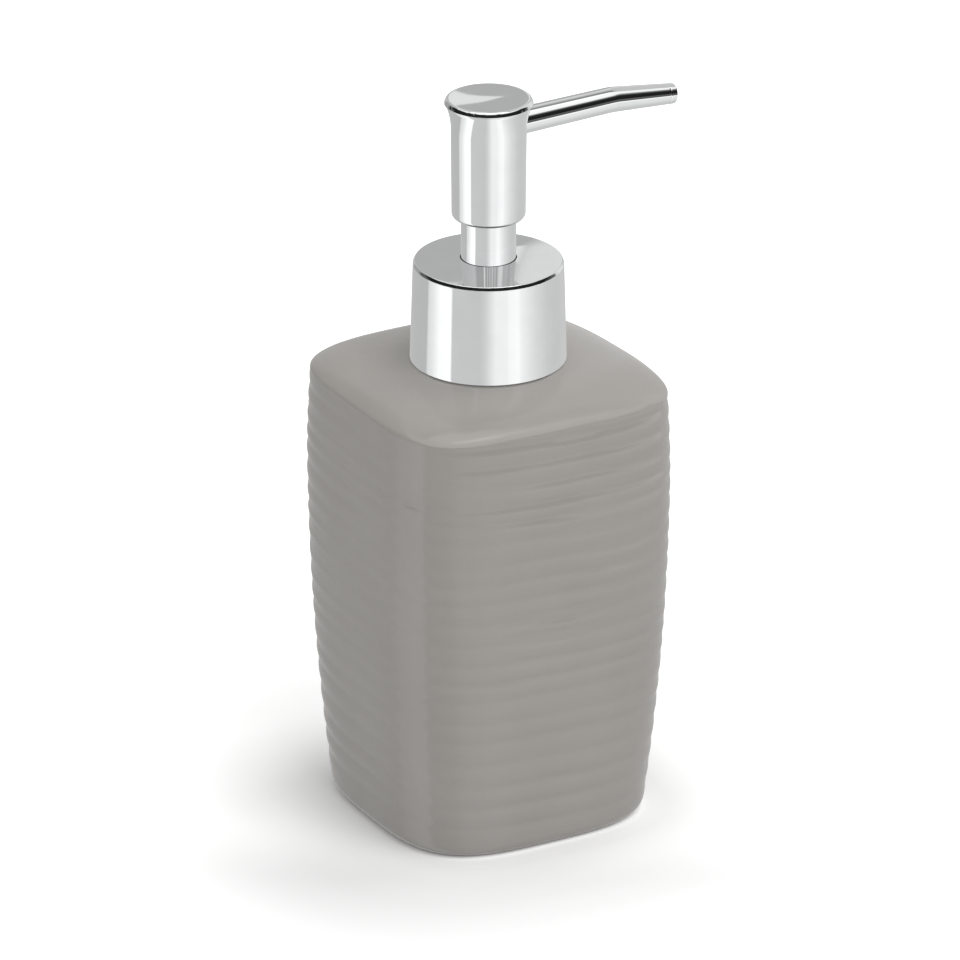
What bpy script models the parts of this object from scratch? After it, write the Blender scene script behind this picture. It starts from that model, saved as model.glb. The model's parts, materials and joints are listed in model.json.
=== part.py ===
"""A glazed stoneware soap dispenser with a chromed pump.

The origin is the centre of the bottle's foot, +Z is up, and the spout points along +X.
Every turned piece shares the vertical axis through the origin.
Heights are stacked upwards from the bottle's mouth, and radii outwards from the pump's stem.
"""
import bpy
import bmesh
from math import asin, cos, pi, radians, sin, sqrt, tan
from mathutils import Matrix, Vector

MM = 0.001

# Fits
SEAT_GAP = 0.3 * MM
RUN_GAP = 0.3 * MM
STOP_GAP = 0.5 * MM
CUT_OVERRUN = 4.0 * MM
WELD_DISTANCE = 0.01 * MM

# Bottle: a squarish barrel with a softly domed top
BOTTLE_HEIGHT = 113.5 * MM
BASE_HALF_WIDTH = 32.95 * MM
BELLY_HALF_WIDTH = 37.05 * MM
BELLY_HEIGHT = 82.3 * MM
SHOULDER_HALF_WIDTH = 36.05 * MM
DOME_RISE = 5.5 * MM
LAND_DIP = 0.45 * MM
FOOT_FILLET = 2.3 * MM
BOTTLE_WALL = 4.0 * MM
BOTTLE_TOP_WALL = 4.2 * MM
BOTTLE_FLOOR = 5.0 * MM
CAVITY_FILLET = 3.0 * MM
RIB_COUNT = 19
RIB_DEPTH = 0.4 * MM
RIB_FOOT_HEIGHT = 8.0 * MM
RIB_TOP_DROP = 1.2 * MM

# Exponents of the bottle's outline: 2 draws a circle, and more draws a squarer section
BASE_SQUARENESS = 3.4
SHOULDER_SQUARENESS = 4.25
CROWN_SQUARENESS = 1.8
MOUTH_SQUARENESS = 2.0

# Exponents of the barrel's flank and of the dome's two directions
FLANK_CURVE = 2.1
DOME_SPREAD = 3.5
DOME_LIFT = 1.45

# Neck insert, glued into the mouth, with the thread that holds the closure
INSERT_SLEEVE_WALL = 3.4 * MM
INSERT_SLEEVE_DEPTH = 9.5 * MM
INSERT_FLANGE_THICKNESS = 1.5 * MM
INSERT_FLANGE_INSET = 0.6 * MM
NECK_WALL = 2.1 * MM
NECK_RISE = 14.7 * MM
THREAD_PITCH = 3.175 * MM
THREAD_DEPTH = 1.1 * MM
THREAD_CLEARANCE = 0.4 * MM
THREAD_ROOT_WIDTH = 1.5 * MM
THREAD_CREST_WIDTH = 0.9 * MM
THREAD_START_RISE = 3.4 * MM
THREAD_EMBED = 0.4 * MM
NECK_THREAD_TURNS = 1.5
NUT_THREAD_TURNS = 1.0
THREAD_LEAD_SHARE = 0.2
THREAD_END_DEPTH_SHARE = 0.2

# Gasket, closure nut and collar cover
GASKET_THICKNESS = 1.2 * MM
NUT_WALL = 3.0 * MM
NUT_WEB = 1.6 * MM
NUT_HOLE_CLEARANCE = 1.0 * MM
COLLAR_WALL = 1.0 * MM
COLLAR_PLATE = 1.2 * MM
COLLAR_DRAFT = 0.7 * MM
COLLAR_RIM_FILLET = 0.9 * MM
COLLAR_CROWN = 0.9 * MM

# Pump housing
CYLINDER_BORE_RADIUS = 6.6 * MM
CYLINDER_WALL = 1.3 * MM
CYLINDER_FLOOR = 2.0 * MM
CUP_WALL = 1.4 * MM
CUP_FLOOR = 1.2 * MM
CUP_TAPER = 1.8 * MM
HOUSING_FLANGE_THICKNESS = 1.6 * MM
INLET_HOLE_RADIUS = 1.7 * MM
SOCKET_WALL = 1.4 * MM
SOCKET_LENGTH = 10.0 * MM
SOCKET_TAPER = 2.5 * MM

# Guide cap, which closes the housing and guides the sleeve and the stem
GUIDE_WALL = 1.5 * MM
GUIDE_FLOOR = 1.4 * MM
GUIDE_FLANGE_WIDTH = 3.5 * MM
GUIDE_FLANGE_THICKNESS = 1.3 * MM
GUIDE_CLEARANCE = 0.6 * MM
WIPER_BASE = 1.2 * MM
WIPER_HEIGHT = 2.5 * MM
WIPER_LIP = 0.6 * MM
WIPER_SHOULDER = 0.9 * MM

# Stroke of the pump
STROKE = 9.2 * MM

# Stem, piston and inlet valve
STEM_RADIUS = 3.4 * MM
STEM_BORE_RADIUS = 1.6 * MM
STEM_SHOULDER = 1.4 * MM
STEM_SHOULDER_THICKNESS = 1.3 * MM
SPIGOT_LENGTH = 5.4 * MM
SPIGOT_BORE_STEP = 0.2 * MM
SEAL_HEIGHT = 5.9 * MM
SEAL_LIP_HEIGHT = 0.8 * MM
SEAL_LIP_TAPER = 0.8 * MM
SEAL_WAIST = 0.9 * MM
CARRIER_FLANGE_THICKNESS = 1.5 * MM
CARRIER_RECESS = 0.6 * MM
CARRIER_GUIDE_LENGTH = 4.7 * MM
INLET_BALL_LAP = 0.7 * MM
BALL_SIDE_CLEARANCE = 0.5 * MM
BALL_LIFT = 1.2 * MM
CAGE_WALL = 1.0 * MM
CAGE_TOP = 1.4 * MM
CAGE_FLANGE_THICKNESS = 1.3 * MM
CAGE_WINDOW_WIDTH = 2.0 * MM
CAGE_WINDOW_SILL = 0.8 * MM
CAGE_WINDOW_HEIGHT = 2.4 * MM

# Return spring
WIRE_RADIUS = 0.35 * MM
SPRING_SIDE_CLEARANCE = 0.5 * MM
SPRING_SPARE = 3.0 * MM
SPRING_END_GAP = 0.5 * MM
SPRING_ACTIVE_TURNS = 6
SPRING_END_TURNS = 1
SPRING_POINTS_PER_TURN = 9

# Dip tube
DIP_TUBE_RADIUS = 2.9 * MM
DIP_TUBE_WALL = 0.8 * MM
DIP_TUBE_FLOOR_CLEARANCE = 3.0 * MM
DIP_TUBE_CUT_ANGLE = 35.0

# Chromed stem sleeve, which carries the head down into the collar
SLEEVE_RADIUS = 6.5 * MM
SLEEVE_WALL = 0.7 * MM
SLEEVE_ENTRY = 2.3 * MM
SLEEVE_SHOWN = 9.85 * MM
SLEEVE_LIP_THICKNESS = 0.8 * MM

# Pump head
HEAD_HEIGHT = 29.65 * MM
HEAD_WALL = 1.2 * MM
HEAD_LEDGE = 0.7 * MM
HEAD_LEDGE_THICKNESS = 1.5 * MM
HEAD_DRAFT = 0.2 * MM
HEAD_FOOT_FILLET = 1.2 * MM
HEAD_FLARE_HEIGHT = 5.7 * MM
HEAD_FLARE = 1.15 * MM
HEAD_FLARE_CURVE = 1.9
CAP_THICKNESS = 1.4 * MM
CAP_LIP = 0.4 * MM
CAP_TAPER = 0.43 * MM
CAP_SKIRT = 0.45 * MM
CAP_TOP_FILLET = 0.65 * MM
CAP_FOOT_FILLET = 0.2 * MM
CORE_BOSS_LENGTH = 6.8 * MM
CORE_SOCKET_RISE = 11.4 * MM
OUTLET_BALL_LAP = 0.6 * MM
OUTLET_NECK_RADIUS = 1.6 * MM
OUTLET_NECK_RISE = 1.0 * MM

# Spout
SPOUT_ROOT_RADIUS = 3.2 * MM
SPOUT_BEND_RADIUS = 3.05 * MM
SPOUT_TIP_RADIUS = 2.45 * MM
SPOUT_WALL = 0.5 * MM
SPOUT_LINER_WALL = 0.5 * MM
SPOUT_COVER = 2.4 * MM
SPOUT_ROOT_REACH = 3.0 * MM
SPOUT_BEND_REACH = 32.7 * MM
SPOUT_REACH = 49.6 * MM
SPOUT_RISE_ANGLE = 1.9
SPOUT_FALL_ANGLE = 5.1
SPOUT_BEND_HALF_LENGTH = 2.6 * MM
SPOUT_LINER_SETBACK = 1.0 * MM

# Fineness of the curved surfaces
BOTTLE_COLUMNS = 40
WIDE_STEPS = 40
MEDIUM_STEPS = 28
SMALL_STEPS = 18
TUBE_STEPS = 16
FILLET_SEGMENTS = 3
FOOT_FILLET_RINGS = 4
DOME_RINGS = 7
CAVITY_RINGS = 6
CAVITY_DOME_RINGS = 4
CROWN_SEGMENTS = 4
FLARE_SEGMENTS = 5
BEND_SEGMENTS = 4
SPOUT_BEVEL_RESOLUTION = 5
SPRING_BEVEL_RESOLUTION = 1
BALL_SEGMENTS = 12
BALL_RINGS = 8
SHARP_ANGLE = radians(35.0)

# Radii, from the stem outwards
spigot_socket_radius = (STEM_RADIUS + STEM_BORE_RADIUS) / 2
spigot_radius = spigot_socket_radius - SEAT_GAP
spigot_bore_radius = STEM_BORE_RADIUS - SPIGOT_BORE_STEP
stem_hole_radius = STEM_RADIUS + RUN_GAP
sleeve_bore_radius = SLEEVE_RADIUS - SLEEVE_WALL
guide_bore_radius = SLEEVE_RADIUS + GUIDE_CLEARANCE
guide_radius = guide_bore_radius + GUIDE_WALL
cup_bore_radius = guide_radius + SEAT_GAP
cup_radius = cup_bore_radius + CUP_WALL
neck_bore_radius = cup_radius + SEAT_GAP
neck_radius = neck_bore_radius + NECK_WALL
nut_bore_radius = neck_radius + THREAD_DEPTH + THREAD_CLEARANCE
nut_foot_radius = nut_bore_radius + NUT_WALL
nut_hole_radius = guide_radius + NUT_HOLE_CLEARANCE
collar_bore_radius = nut_foot_radius + SEAT_GAP
collar_foot_radius = collar_bore_radius + COLLAR_WALL
insert_sleeve_radius = neck_bore_radius + INSERT_SLEEVE_WALL
insert_flange_radius = collar_bore_radius - INSERT_FLANGE_INSET
mouth_radius = insert_sleeve_radius + SEAT_GAP
piston_radius = CYLINDER_BORE_RADIUS - RUN_GAP
cylinder_radius = CYLINDER_BORE_RADIUS + CYLINDER_WALL
inlet_ball_radius = INLET_HOLE_RADIUS + INLET_BALL_LAP
cage_bore_radius = inlet_ball_radius + BALL_SIDE_CLEARANCE
cage_radius = cage_bore_radius + CAGE_WALL
coil_radius = cage_radius + SPRING_SIDE_CLEARANCE + WIRE_RADIUS
socket_bore_radius = DIP_TUBE_RADIUS + SEAT_GAP
head_bore_radius = SLEEVE_RADIUS + SEAT_GAP + HEAD_LEDGE
head_radius = head_bore_radius + HEAD_WALL
core_radius = head_bore_radius - SEAT_GAP
outlet_ball_radius = STEM_BORE_RADIUS + OUTLET_BALL_LAP
outlet_chamber_radius = outlet_ball_radius + BALL_SIDE_CLEARANCE

# Heights, from the foot upwards
shoulder_height = BOTTLE_HEIGHT - DOME_RISE
cavity_floor = BOTTLE_FLOOR
insert_flange_foot = BOTTLE_HEIGHT + SEAT_GAP
insert_flange_top = insert_flange_foot + INSERT_FLANGE_THICKNESS
neck_top = insert_flange_top + NECK_RISE
gasket_foot = neck_top + SEAT_GAP
gasket_top = gasket_foot + GASKET_THICKNESS
housing_flange_foot = gasket_top + SEAT_GAP
housing_top = housing_flange_foot + HOUSING_FLANGE_THICKNESS
nut_foot = insert_flange_top + SEAT_GAP
nut_web_foot = housing_top + SEAT_GAP
nut_top = nut_web_foot + NUT_WEB
guide_flange_foot = nut_top + SEAT_GAP
guide_top = guide_flange_foot + GUIDE_FLANGE_THICKNESS
collar_foot = BOTTLE_HEIGHT + SEAT_GAP
collar_plate_foot = guide_top + SEAT_GAP
collar_rim_height = collar_plate_foot + COLLAR_PLATE
collar_top = collar_rim_height + COLLAR_CROWN
sleeve_foot = collar_plate_foot - SLEEVE_ENTRY
head_foot = collar_top + SLEEVE_SHOWN
head_top = head_foot + HEAD_HEIGHT
cap_foot = head_top - CAP_THICKNESS
shell_top = cap_foot - SEAT_GAP
spout_root_height = shell_top - SPOUT_COVER - SPOUT_ROOT_RADIUS
ledge_top = head_foot + HEAD_LEDGE_THICKNESS
sleeve_top = ledge_top + SEAT_GAP + SLEEVE_LIP_THICKNESS
core_foot = sleeve_top + SEAT_GAP
core_boss_foot = core_foot - CORE_BOSS_LENGTH
stem_top = head_foot + CORE_SOCKET_RISE
core_socket_top = stem_top + SEAT_GAP

# Heights, from the guide cap's floor downwards
guide_floor_top = sleeve_foot - STROKE - STOP_GAP
guide_floor_foot = guide_floor_top - GUIDE_FLOOR
cup_floor_top = guide_floor_foot - SEAT_GAP
cup_foot = cup_floor_top - CUP_FLOOR
stem_shoulder_top = guide_floor_foot - RUN_GAP
stem_shoulder_foot = stem_shoulder_top - STEM_SHOULDER_THICKNESS
seal_top = stem_shoulder_foot - SEAT_GAP
seal_foot = seal_top - SEAL_HEIGHT
stem_foot = seal_foot
carrier_flange_top = seal_foot - SEAT_GAP
carrier_flange_foot = carrier_flange_top - CARRIER_FLANGE_THICKNESS
carrier_foot = carrier_flange_foot - CARRIER_GUIDE_LENGTH
ball_rest_rise = sqrt((inlet_ball_radius + SEAT_GAP) ** 2 - INLET_HOLE_RADIUS ** 2)
cage_recess_rise = ball_rest_rise + inlet_ball_radius + BALL_LIFT + RUN_GAP
cage_rise = cage_recess_rise + CAGE_TOP
cylinder_floor_top = carrier_foot - STROKE - SPRING_SPARE - cage_rise
cage_foot = cylinder_floor_top + SEAT_GAP
cage_flange_top = cage_foot + CAGE_FLANGE_THICKNESS
cage_recess_top = cylinder_floor_top + cage_recess_rise
cage_top = cylinder_floor_top + cage_rise
socket_top = cylinder_floor_top - CYLINDER_FLOOR
socket_foot = socket_top - SOCKET_LENGTH
dip_tube_top = socket_top - SEAT_GAP
dip_tube_foot = cavity_floor + DIP_TUBE_FLOOR_CLEARANCE
inlet_ball_height = cylinder_floor_top + ball_rest_rise
outlet_ball_rise = sqrt((outlet_ball_radius + SEAT_GAP) ** 2 - STEM_BORE_RADIUS ** 2)
outlet_ball_height = stem_top + outlet_ball_rise
outlet_chamber_top = outlet_ball_height + outlet_ball_radius + BALL_LIFT + RUN_GAP


def clear_scene():
    """Remove whatever the file holds, so that only the dispenser is left."""
    for item in list(bpy.data.objects):
        bpy.data.objects.remove(item, do_unlink=True)


def collection(name):
    """Return a collection of this name, linked to the scene."""
    group = bpy.data.collections.get(name) or bpy.data.collections.new(name)
    if name not in bpy.context.scene.collection.children:
        bpy.context.scene.collection.children.link(group)
    return group


def principled(name, colour, roughness, metallic=0.0, coat=0.0, alpha=1.0):
    """Return a plain Principled material."""
    material = bpy.data.materials.get(name) or bpy.data.materials.new(name)
    material.use_nodes = True
    shader = material.node_tree.nodes["Principled BSDF"]
    shader.inputs["Base Color"].default_value = (*colour, 1.0)
    shader.inputs["Roughness"].default_value = roughness
    shader.inputs["Metallic"].default_value = metallic
    shader.inputs["Coat Weight"].default_value = coat
    shader.inputs["Alpha"].default_value = alpha
    material.diffuse_color = (*colour, alpha)
    return material


def glazed_stoneware(name):
    """Warm grey glaze."""
    return principled(name, (0.33, 0.315, 0.29), 0.22, coat=0.6)


def chrome_plate(name):
    """Bright chrome plating."""
    return principled(name, (0.83, 0.84, 0.85), 0.06, metallic=1.0)


def spring_steel(name):
    """Bright drawn stainless wire and balls."""
    return principled(name, (0.62, 0.62, 0.63), 0.28, metallic=1.0)


def white_plastic(name):
    """Moulded white polypropylene."""
    return principled(name, (0.82, 0.83, 0.82), 0.42)


def clear_plastic(name):
    """Milky polyethylene tube."""
    return principled(name, (0.78, 0.81, 0.82), 0.35, alpha=0.6)


def grey_rubber(name):
    """Soft grey elastomer."""
    return principled(name, (0.16, 0.16, 0.17), 0.7)


def link(name, mesh, group):
    """Make an object of this mesh in this collection."""
    item = bpy.data.objects.new(name, mesh)
    collection(group).objects.link(item)
    return item


def evaluated_mesh(item):
    """Return the mesh that an object's modifiers or curve settings make."""
    bpy.context.view_layer.update()
    graph = bpy.context.evaluated_depsgraph_get()
    return bpy.data.meshes.new_from_object(item.evaluated_get(graph))


def settle(item, material):
    """Keep the object's evaluated shape, shade it smooth but for its sharp edges, and colour it."""
    mesh = evaluated_mesh(item)
    item.modifiers.clear()
    item.data = mesh
    mesh.name = item.name
    mesh.shade_smooth()
    mesh.set_sharp_from_angle(angle=SHARP_ANGLE)
    mesh.materials.clear()
    mesh.materials.append(material(item.name + "_finish"))
    return item


def rounded(corners):
    """Return an outline's points, with an arc at each corner (radius, height, fillet) that has a fillet."""
    points = []
    for index, (x, z, fillet) in enumerate(corners):
        here = Vector((x, z))
        if fillet == 0:
            points.append(here)
            continue
        before = (Vector(corners[index - 1][:2]) - here).normalized()
        after = (Vector(corners[(index + 1) % len(corners)][:2]) - here).normalized()
        half = before.angle(after) / 2
        centre = here + (before + after).normalized() * (fillet / sin(half))
        start = here + before * (fillet / tan(half))
        end = here + after * (fillet / tan(half))
        for step in range(FILLET_SEGMENTS + 1):
            spoke = (start - centre).slerp(end - centre, step / FILLET_SEGMENTS)
            points.append(centre + spoke.normalized() * fillet)
    return points


def turned(name, outline, steps, group="soap_dispenser"):
    """Turn an outline about the vertical axis: its outer side runs down, and its bore runs up."""
    on_axis = outline[0][0] == 0
    mesh = bpy.data.meshes.new(name)
    ends = range(len(outline) - 1) if on_axis else range(len(outline))
    edges = [(index, (index + 1) % len(outline)) for index in ends]
    mesh.from_pydata([(point[0], 0, point[1]) for point in outline], edges, [])
    item = link(name, mesh, group)
    screw = item.modifiers.new("turning", "SCREW")
    screw.axis = "Z"
    screw.angle = 2 * pi
    screw.steps = steps
    screw.render_steps = steps
    screw.use_merge_vertices = True
    screw.merge_threshold = WELD_DISTANCE
    return item


def loft(name, rings, group="soap_dispenser"):
    """Join rings of equal count into one closed surface with flat ends."""
    shape = bmesh.new()
    loops = [[shape.verts.new(point) for point in ring] for ring in rings]
    for lower, upper in zip(loops, loops[1:]):
        for index in range(len(lower)):
            following = (index + 1) % len(lower)
            shape.faces.new((lower[index], lower[following], upper[following], upper[index]))
    shape.faces.new(list(reversed(loops[0])))
    shape.faces.new(loops[-1])
    bmesh.ops.recalc_face_normals(shape, faces=shape.faces)
    mesh = bpy.data.meshes.new(name)
    shape.to_mesh(mesh)
    shape.free()
    return link(name, mesh, group)


def as_cutter(item):
    """Show a cutter as wire, and keep it out of renders."""
    item.hide_render = True
    item.display_type = "WIRE"
    return item


def combine(item, other, operation):
    """Add another body to an object, or cut it away."""
    boolean = item.modifiers.new(other.name, "BOOLEAN")
    boolean.operation = operation
    boolean.object = other
    boolean.solver = "EXACT"
    return item


def cylinder_cutter(name, radius, length, matrix):
    """Make a cylinder along the matrix's Z axis, from its origin."""
    shape = bmesh.new()
    place = matrix @ Matrix.Translation((0, 0, length / 2))
    bmesh.ops.create_cone(shape, cap_ends=True, segments=SMALL_STEPS, radius1=radius, radius2=radius,
                          depth=length, matrix=place)
    mesh = bpy.data.meshes.new(name)
    shape.to_mesh(mesh)
    shape.free()
    return as_cutter(link(name, mesh, "cutters"))


def box_cutter(name, size, matrix):
    """Make a box of this size around the matrix's origin."""
    shape = bmesh.new()
    bmesh.ops.create_cube(shape, size=1.0, matrix=matrix @ Matrix.Diagonal((*size, 1.0)))
    mesh = bpy.data.meshes.new(name)
    shape.to_mesh(mesh)
    shape.free()
    return as_cutter(link(name, mesh, "cutters"))


def tube(name, path, radii, resolution, group="soap_dispenser"):
    """Make a round bar along a path, with its own radius at each point and closed ends."""
    curve = bpy.data.curves.new(name + "_path", "CURVE")
    curve.dimensions = "3D"
    curve.bevel_depth = 1.0
    curve.bevel_resolution = resolution
    curve.use_fill_caps = True
    spline = curve.splines.new("POLY")
    spline.points.add(len(path) - 1)
    for point, place, radius in zip(spline.points, path, radii):
        point.co = (*place, 1.0)
        point.radius = radius
    guide = link(name + "_path", curve, group)
    mesh = evaluated_mesh(guide)
    bpy.data.objects.remove(guide, do_unlink=True)
    shape = bmesh.new()
    shape.from_mesh(mesh)
    bmesh.ops.remove_doubles(shape, verts=shape.verts, dist=WELD_DISTANCE)
    shape.to_mesh(mesh)
    shape.free()
    return link(name, mesh, group)


def barrel_half_width(height):
    """Half of the bottle's width from face to face, below its shoulder."""
    if height < BELLY_HEIGHT:
        share = (BELLY_HEIGHT - height) / BELLY_HEIGHT
        return BELLY_HALF_WIDTH - (BELLY_HALF_WIDTH - BASE_HALF_WIDTH) * share ** FLANK_CURVE
    share = (height - BELLY_HEIGHT) / (shoulder_height - BELLY_HEIGHT)
    return BELLY_HALF_WIDTH - (BELLY_HALF_WIDTH - SHOULDER_HALF_WIDTH) * share ** 2


def barrel_squareness(height):
    """The barrel's section grows squarer towards the shoulder."""
    share = height / shoulder_height
    return BASE_SQUARENESS + (SHOULDER_SQUARENESS - BASE_SQUARENESS) * share


def section(half_width, height, squareness):
    """One ring of the bottle: a superellipse around the vertical axis."""
    ring = []
    for column in range(BOTTLE_COLUMNS):
        angle = 2 * pi * column / BOTTLE_COLUMNS
        spread = abs(cos(angle)) ** squareness + abs(sin(angle)) ** squareness
        reach = half_width * spread ** (-1 / squareness)
        ring.append(Vector((reach * cos(angle), reach * sin(angle), height)))
    return ring


def dome(share):
    """Half width, height and squareness of the dome, from the shoulder (0) to the flat land (1)."""
    crown_rise = DOME_RISE + LAND_DIP
    land_angle = asin((DOME_RISE / crown_rise) ** (DOME_LIFT / 2))
    angle = share * land_angle
    half_width = SHOULDER_HALF_WIDTH * cos(angle) ** (2 / DOME_SPREAD)
    height = shoulder_height + crown_rise * sin(angle) ** (2 / DOME_LIFT)
    inwards = 1 - half_width / SHOULDER_HALF_WIDTH
    squareness = SHOULDER_SQUARENESS * (1 - inwards) + CROWN_SQUARENESS * inwards
    return half_width, height, squareness


def bottle_outside():
    """Rings from the foot up the ribbed barrel and over the dome to the mouth."""
    rings = []
    for step in range(FOOT_FILLET_RINGS + 1):
        angle = pi / 2 * step / FOOT_FILLET_RINGS
        height = FOOT_FILLET * (1 - cos(angle))
        half_width = barrel_half_width(height) - FOOT_FILLET * (1 - sin(angle))
        rings.append(section(half_width, height, BASE_SQUARENESS))
    pitch = (shoulder_height - RIB_TOP_DROP - RIB_FOOT_HEIGHT) / RIB_COUNT
    for notch in range(RIB_COUNT + 1):
        for inset, rise in ((RIB_DEPTH, 0), (0, pitch / 2)):
            height = RIB_FOOT_HEIGHT + notch * pitch + rise
            if height < shoulder_height:
                rings.append(section(barrel_half_width(height) - inset, height, barrel_squareness(height)))
    for step in range(DOME_RINGS + 1):
        rings.append(section(*dome(step / DOME_RINGS)))
    rings.append(section(mouth_radius, BOTTLE_HEIGHT, MOUTH_SQUARENESS))
    return rings


def bottle_inside():
    """Rings from the mouth down its bore and the cavity to the floor."""
    rings = [section(mouth_radius, BOTTLE_HEIGHT - BOTTLE_TOP_WALL, MOUTH_SQUARENESS)]
    for step in range(CAVITY_DOME_RINGS):
        half_width, height, squareness = dome(1 - step / CAVITY_DOME_RINGS)
        rings.append(section(half_width - BOTTLE_WALL, height - BOTTLE_TOP_WALL, squareness))
    top = shoulder_height - BOTTLE_TOP_WALL
    foot = cavity_floor + CAVITY_FILLET
    for step in range(CAVITY_RINGS + 1):
        height = top + (foot - top) * step / CAVITY_RINGS
        rings.append(section(barrel_half_width(height) - BOTTLE_WALL, height, barrel_squareness(height)))
    for step in range(1, FILLET_SEGMENTS + 1):
        angle = pi / 2 * step / FILLET_SEGMENTS
        height = foot - CAVITY_FILLET * sin(angle)
        half_width = barrel_half_width(height) - BOTTLE_WALL - CAVITY_FILLET * (1 - cos(angle))
        rings.append(section(half_width, height, BASE_SQUARENESS))
    return rings


def bottle():
    """Ribbed stoneware bottle, open at its mouth."""
    return settle(loft("bottle", bottle_outside() + bottle_inside()), glazed_stoneware)


def thread(name, wall_radius, outward, start_height, turns):
    """One helical ridge, rooted in a wall and standing outward (1) or inward (-1) of it."""
    steps = round(turns * MEDIUM_STEPS)
    rings = []
    for step in range(steps + 1):
        angle = 2 * pi * turns * step / steps
        centre = start_height + THREAD_PITCH * turns * step / steps
        from_end = min(step, steps - step) / (THREAD_LEAD_SHARE * MEDIUM_STEPS)
        depth = THREAD_DEPTH * (THREAD_END_DEPTH_SHARE + (1 - THREAD_END_DEPTH_SHARE) * min(1, from_end))
        root = wall_radius - outward * THREAD_EMBED
        crest = wall_radius + outward * depth
        outline = ((root, -THREAD_ROOT_WIDTH / 2), (crest, -THREAD_CREST_WIDTH / 2),
                   (crest, THREAD_CREST_WIDTH / 2), (root, THREAD_ROOT_WIDTH / 2))
        rings.append([Vector((radius * cos(angle), radius * sin(angle), centre + rise))
                      for radius, rise in outline])
    return as_cutter(loft(name, rings, "cutters"))


def neck_insert():
    """Plastic neck glued into the mouth, with an outside thread."""
    outline = rounded([
        (neck_radius, neck_top, SEAT_GAP),
        (neck_radius, insert_flange_top, 0),
        (insert_flange_radius, insert_flange_top, SEAT_GAP),
        (insert_flange_radius, insert_flange_foot, 0),
        (insert_sleeve_radius, insert_flange_foot, 0),
        (insert_sleeve_radius, BOTTLE_HEIGHT - INSERT_SLEEVE_DEPTH, 0),
        (neck_bore_radius, BOTTLE_HEIGHT - INSERT_SLEEVE_DEPTH, 0),
        (neck_bore_radius, neck_top, 0),
    ])
    item = turned("neck_insert", outline, MEDIUM_STEPS)
    ridge = thread("neck_thread", neck_radius, 1, insert_flange_top + THREAD_START_RISE, NECK_THREAD_TURNS)
    return settle(combine(item, ridge, "UNION"), white_plastic)


def neck_gasket():
    """Flat sealing ring between the neck and the pump's flange."""
    outline = rounded([
        (neck_radius, gasket_top, 0),
        (neck_radius, gasket_foot, 0),
        (neck_bore_radius, gasket_foot, 0),
        (neck_bore_radius, gasket_top, 0),
    ])
    return settle(turned("neck_gasket", outline, MEDIUM_STEPS), grey_rubber)


def nut_radius(height):
    """The nut's side follows the collar's draft."""
    share = (height - collar_foot) / (collar_rim_height - collar_foot)
    return nut_foot_radius - COLLAR_DRAFT * share


def closure_nut():
    """Threaded closure that clamps the pump onto the neck."""
    outline = rounded([
        (nut_radius(nut_top), nut_top, SEAT_GAP),
        (nut_radius(nut_foot), nut_foot, 0),
        (nut_bore_radius, nut_foot, 0),
        (nut_bore_radius, nut_web_foot, 0),
        (nut_hole_radius, nut_web_foot, 0),
        (nut_hole_radius, nut_top, 0),
    ])
    item = turned("closure_nut", outline, MEDIUM_STEPS)
    start = insert_flange_top + THREAD_START_RISE + THREAD_PITCH / 2
    ridge = thread("nut_thread", nut_bore_radius, -1, start, NUT_THREAD_TURNS)
    return settle(combine(item, ridge, "UNION"), white_plastic)


def collar_crown(radius, edge_radius):
    """Height of the collar's gently domed plate above its rim."""
    return COLLAR_CROWN * (1 - (radius / edge_radius) ** 2)


def collar_cover():
    """Chromed cover over the nut, with the hole that the sleeve slides through."""
    rim_radius = collar_foot_radius - COLLAR_DRAFT
    hole_radius = SLEEVE_RADIUS + RUN_GAP
    bore_top_radius = rim_radius - COLLAR_WALL
    plate_edge = rim_radius - COLLAR_RIM_FILLET
    corners = []
    for step in range(CROWN_SEGMENTS + 1):
        radius = hole_radius + (plate_edge - hole_radius) * step / CROWN_SEGMENTS
        corners.append((radius, collar_rim_height + collar_crown(radius, plate_edge), 0))
    corners.append((rim_radius, collar_rim_height, COLLAR_RIM_FILLET))
    corners.append((collar_foot_radius, collar_foot, 0))
    corners.append((collar_bore_radius, collar_foot, 0))
    corners.append((bore_top_radius, collar_plate_foot, 0))
    corners.append((hole_radius, collar_plate_foot, 0))
    return settle(turned("collar_cover", rounded(corners), WIDE_STEPS), chrome_plate)


def pump_housing():
    """Housing with the clamped flange, the guide cap's cup, the cylinder and the dip tube's socket."""
    outline = rounded([
        (neck_radius, housing_top, 0),
        (neck_radius, housing_flange_foot, 0),
        (cup_radius, housing_flange_foot, 0),
        (cup_radius, cup_foot, 0),
        (cylinder_radius, cup_foot - CUP_TAPER, 0),
        (cylinder_radius, socket_top, 0),
        (socket_bore_radius + SOCKET_WALL, socket_top - SOCKET_TAPER, 0),
        (socket_bore_radius + SOCKET_WALL, socket_foot, 0),
        (socket_bore_radius, socket_foot, 0),
        (socket_bore_radius, socket_top, 0),
        (INLET_HOLE_RADIUS, socket_top, 0),
        (INLET_HOLE_RADIUS, cylinder_floor_top, 0),
        (CYLINDER_BORE_RADIUS, cylinder_floor_top, 0),
        (CYLINDER_BORE_RADIUS, cup_floor_top, 0),
        (cup_bore_radius, cup_floor_top, 0),
        (cup_bore_radius, housing_top, 0),
    ])
    return settle(turned("pump_housing", outline, MEDIUM_STEPS), white_plastic)


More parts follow.
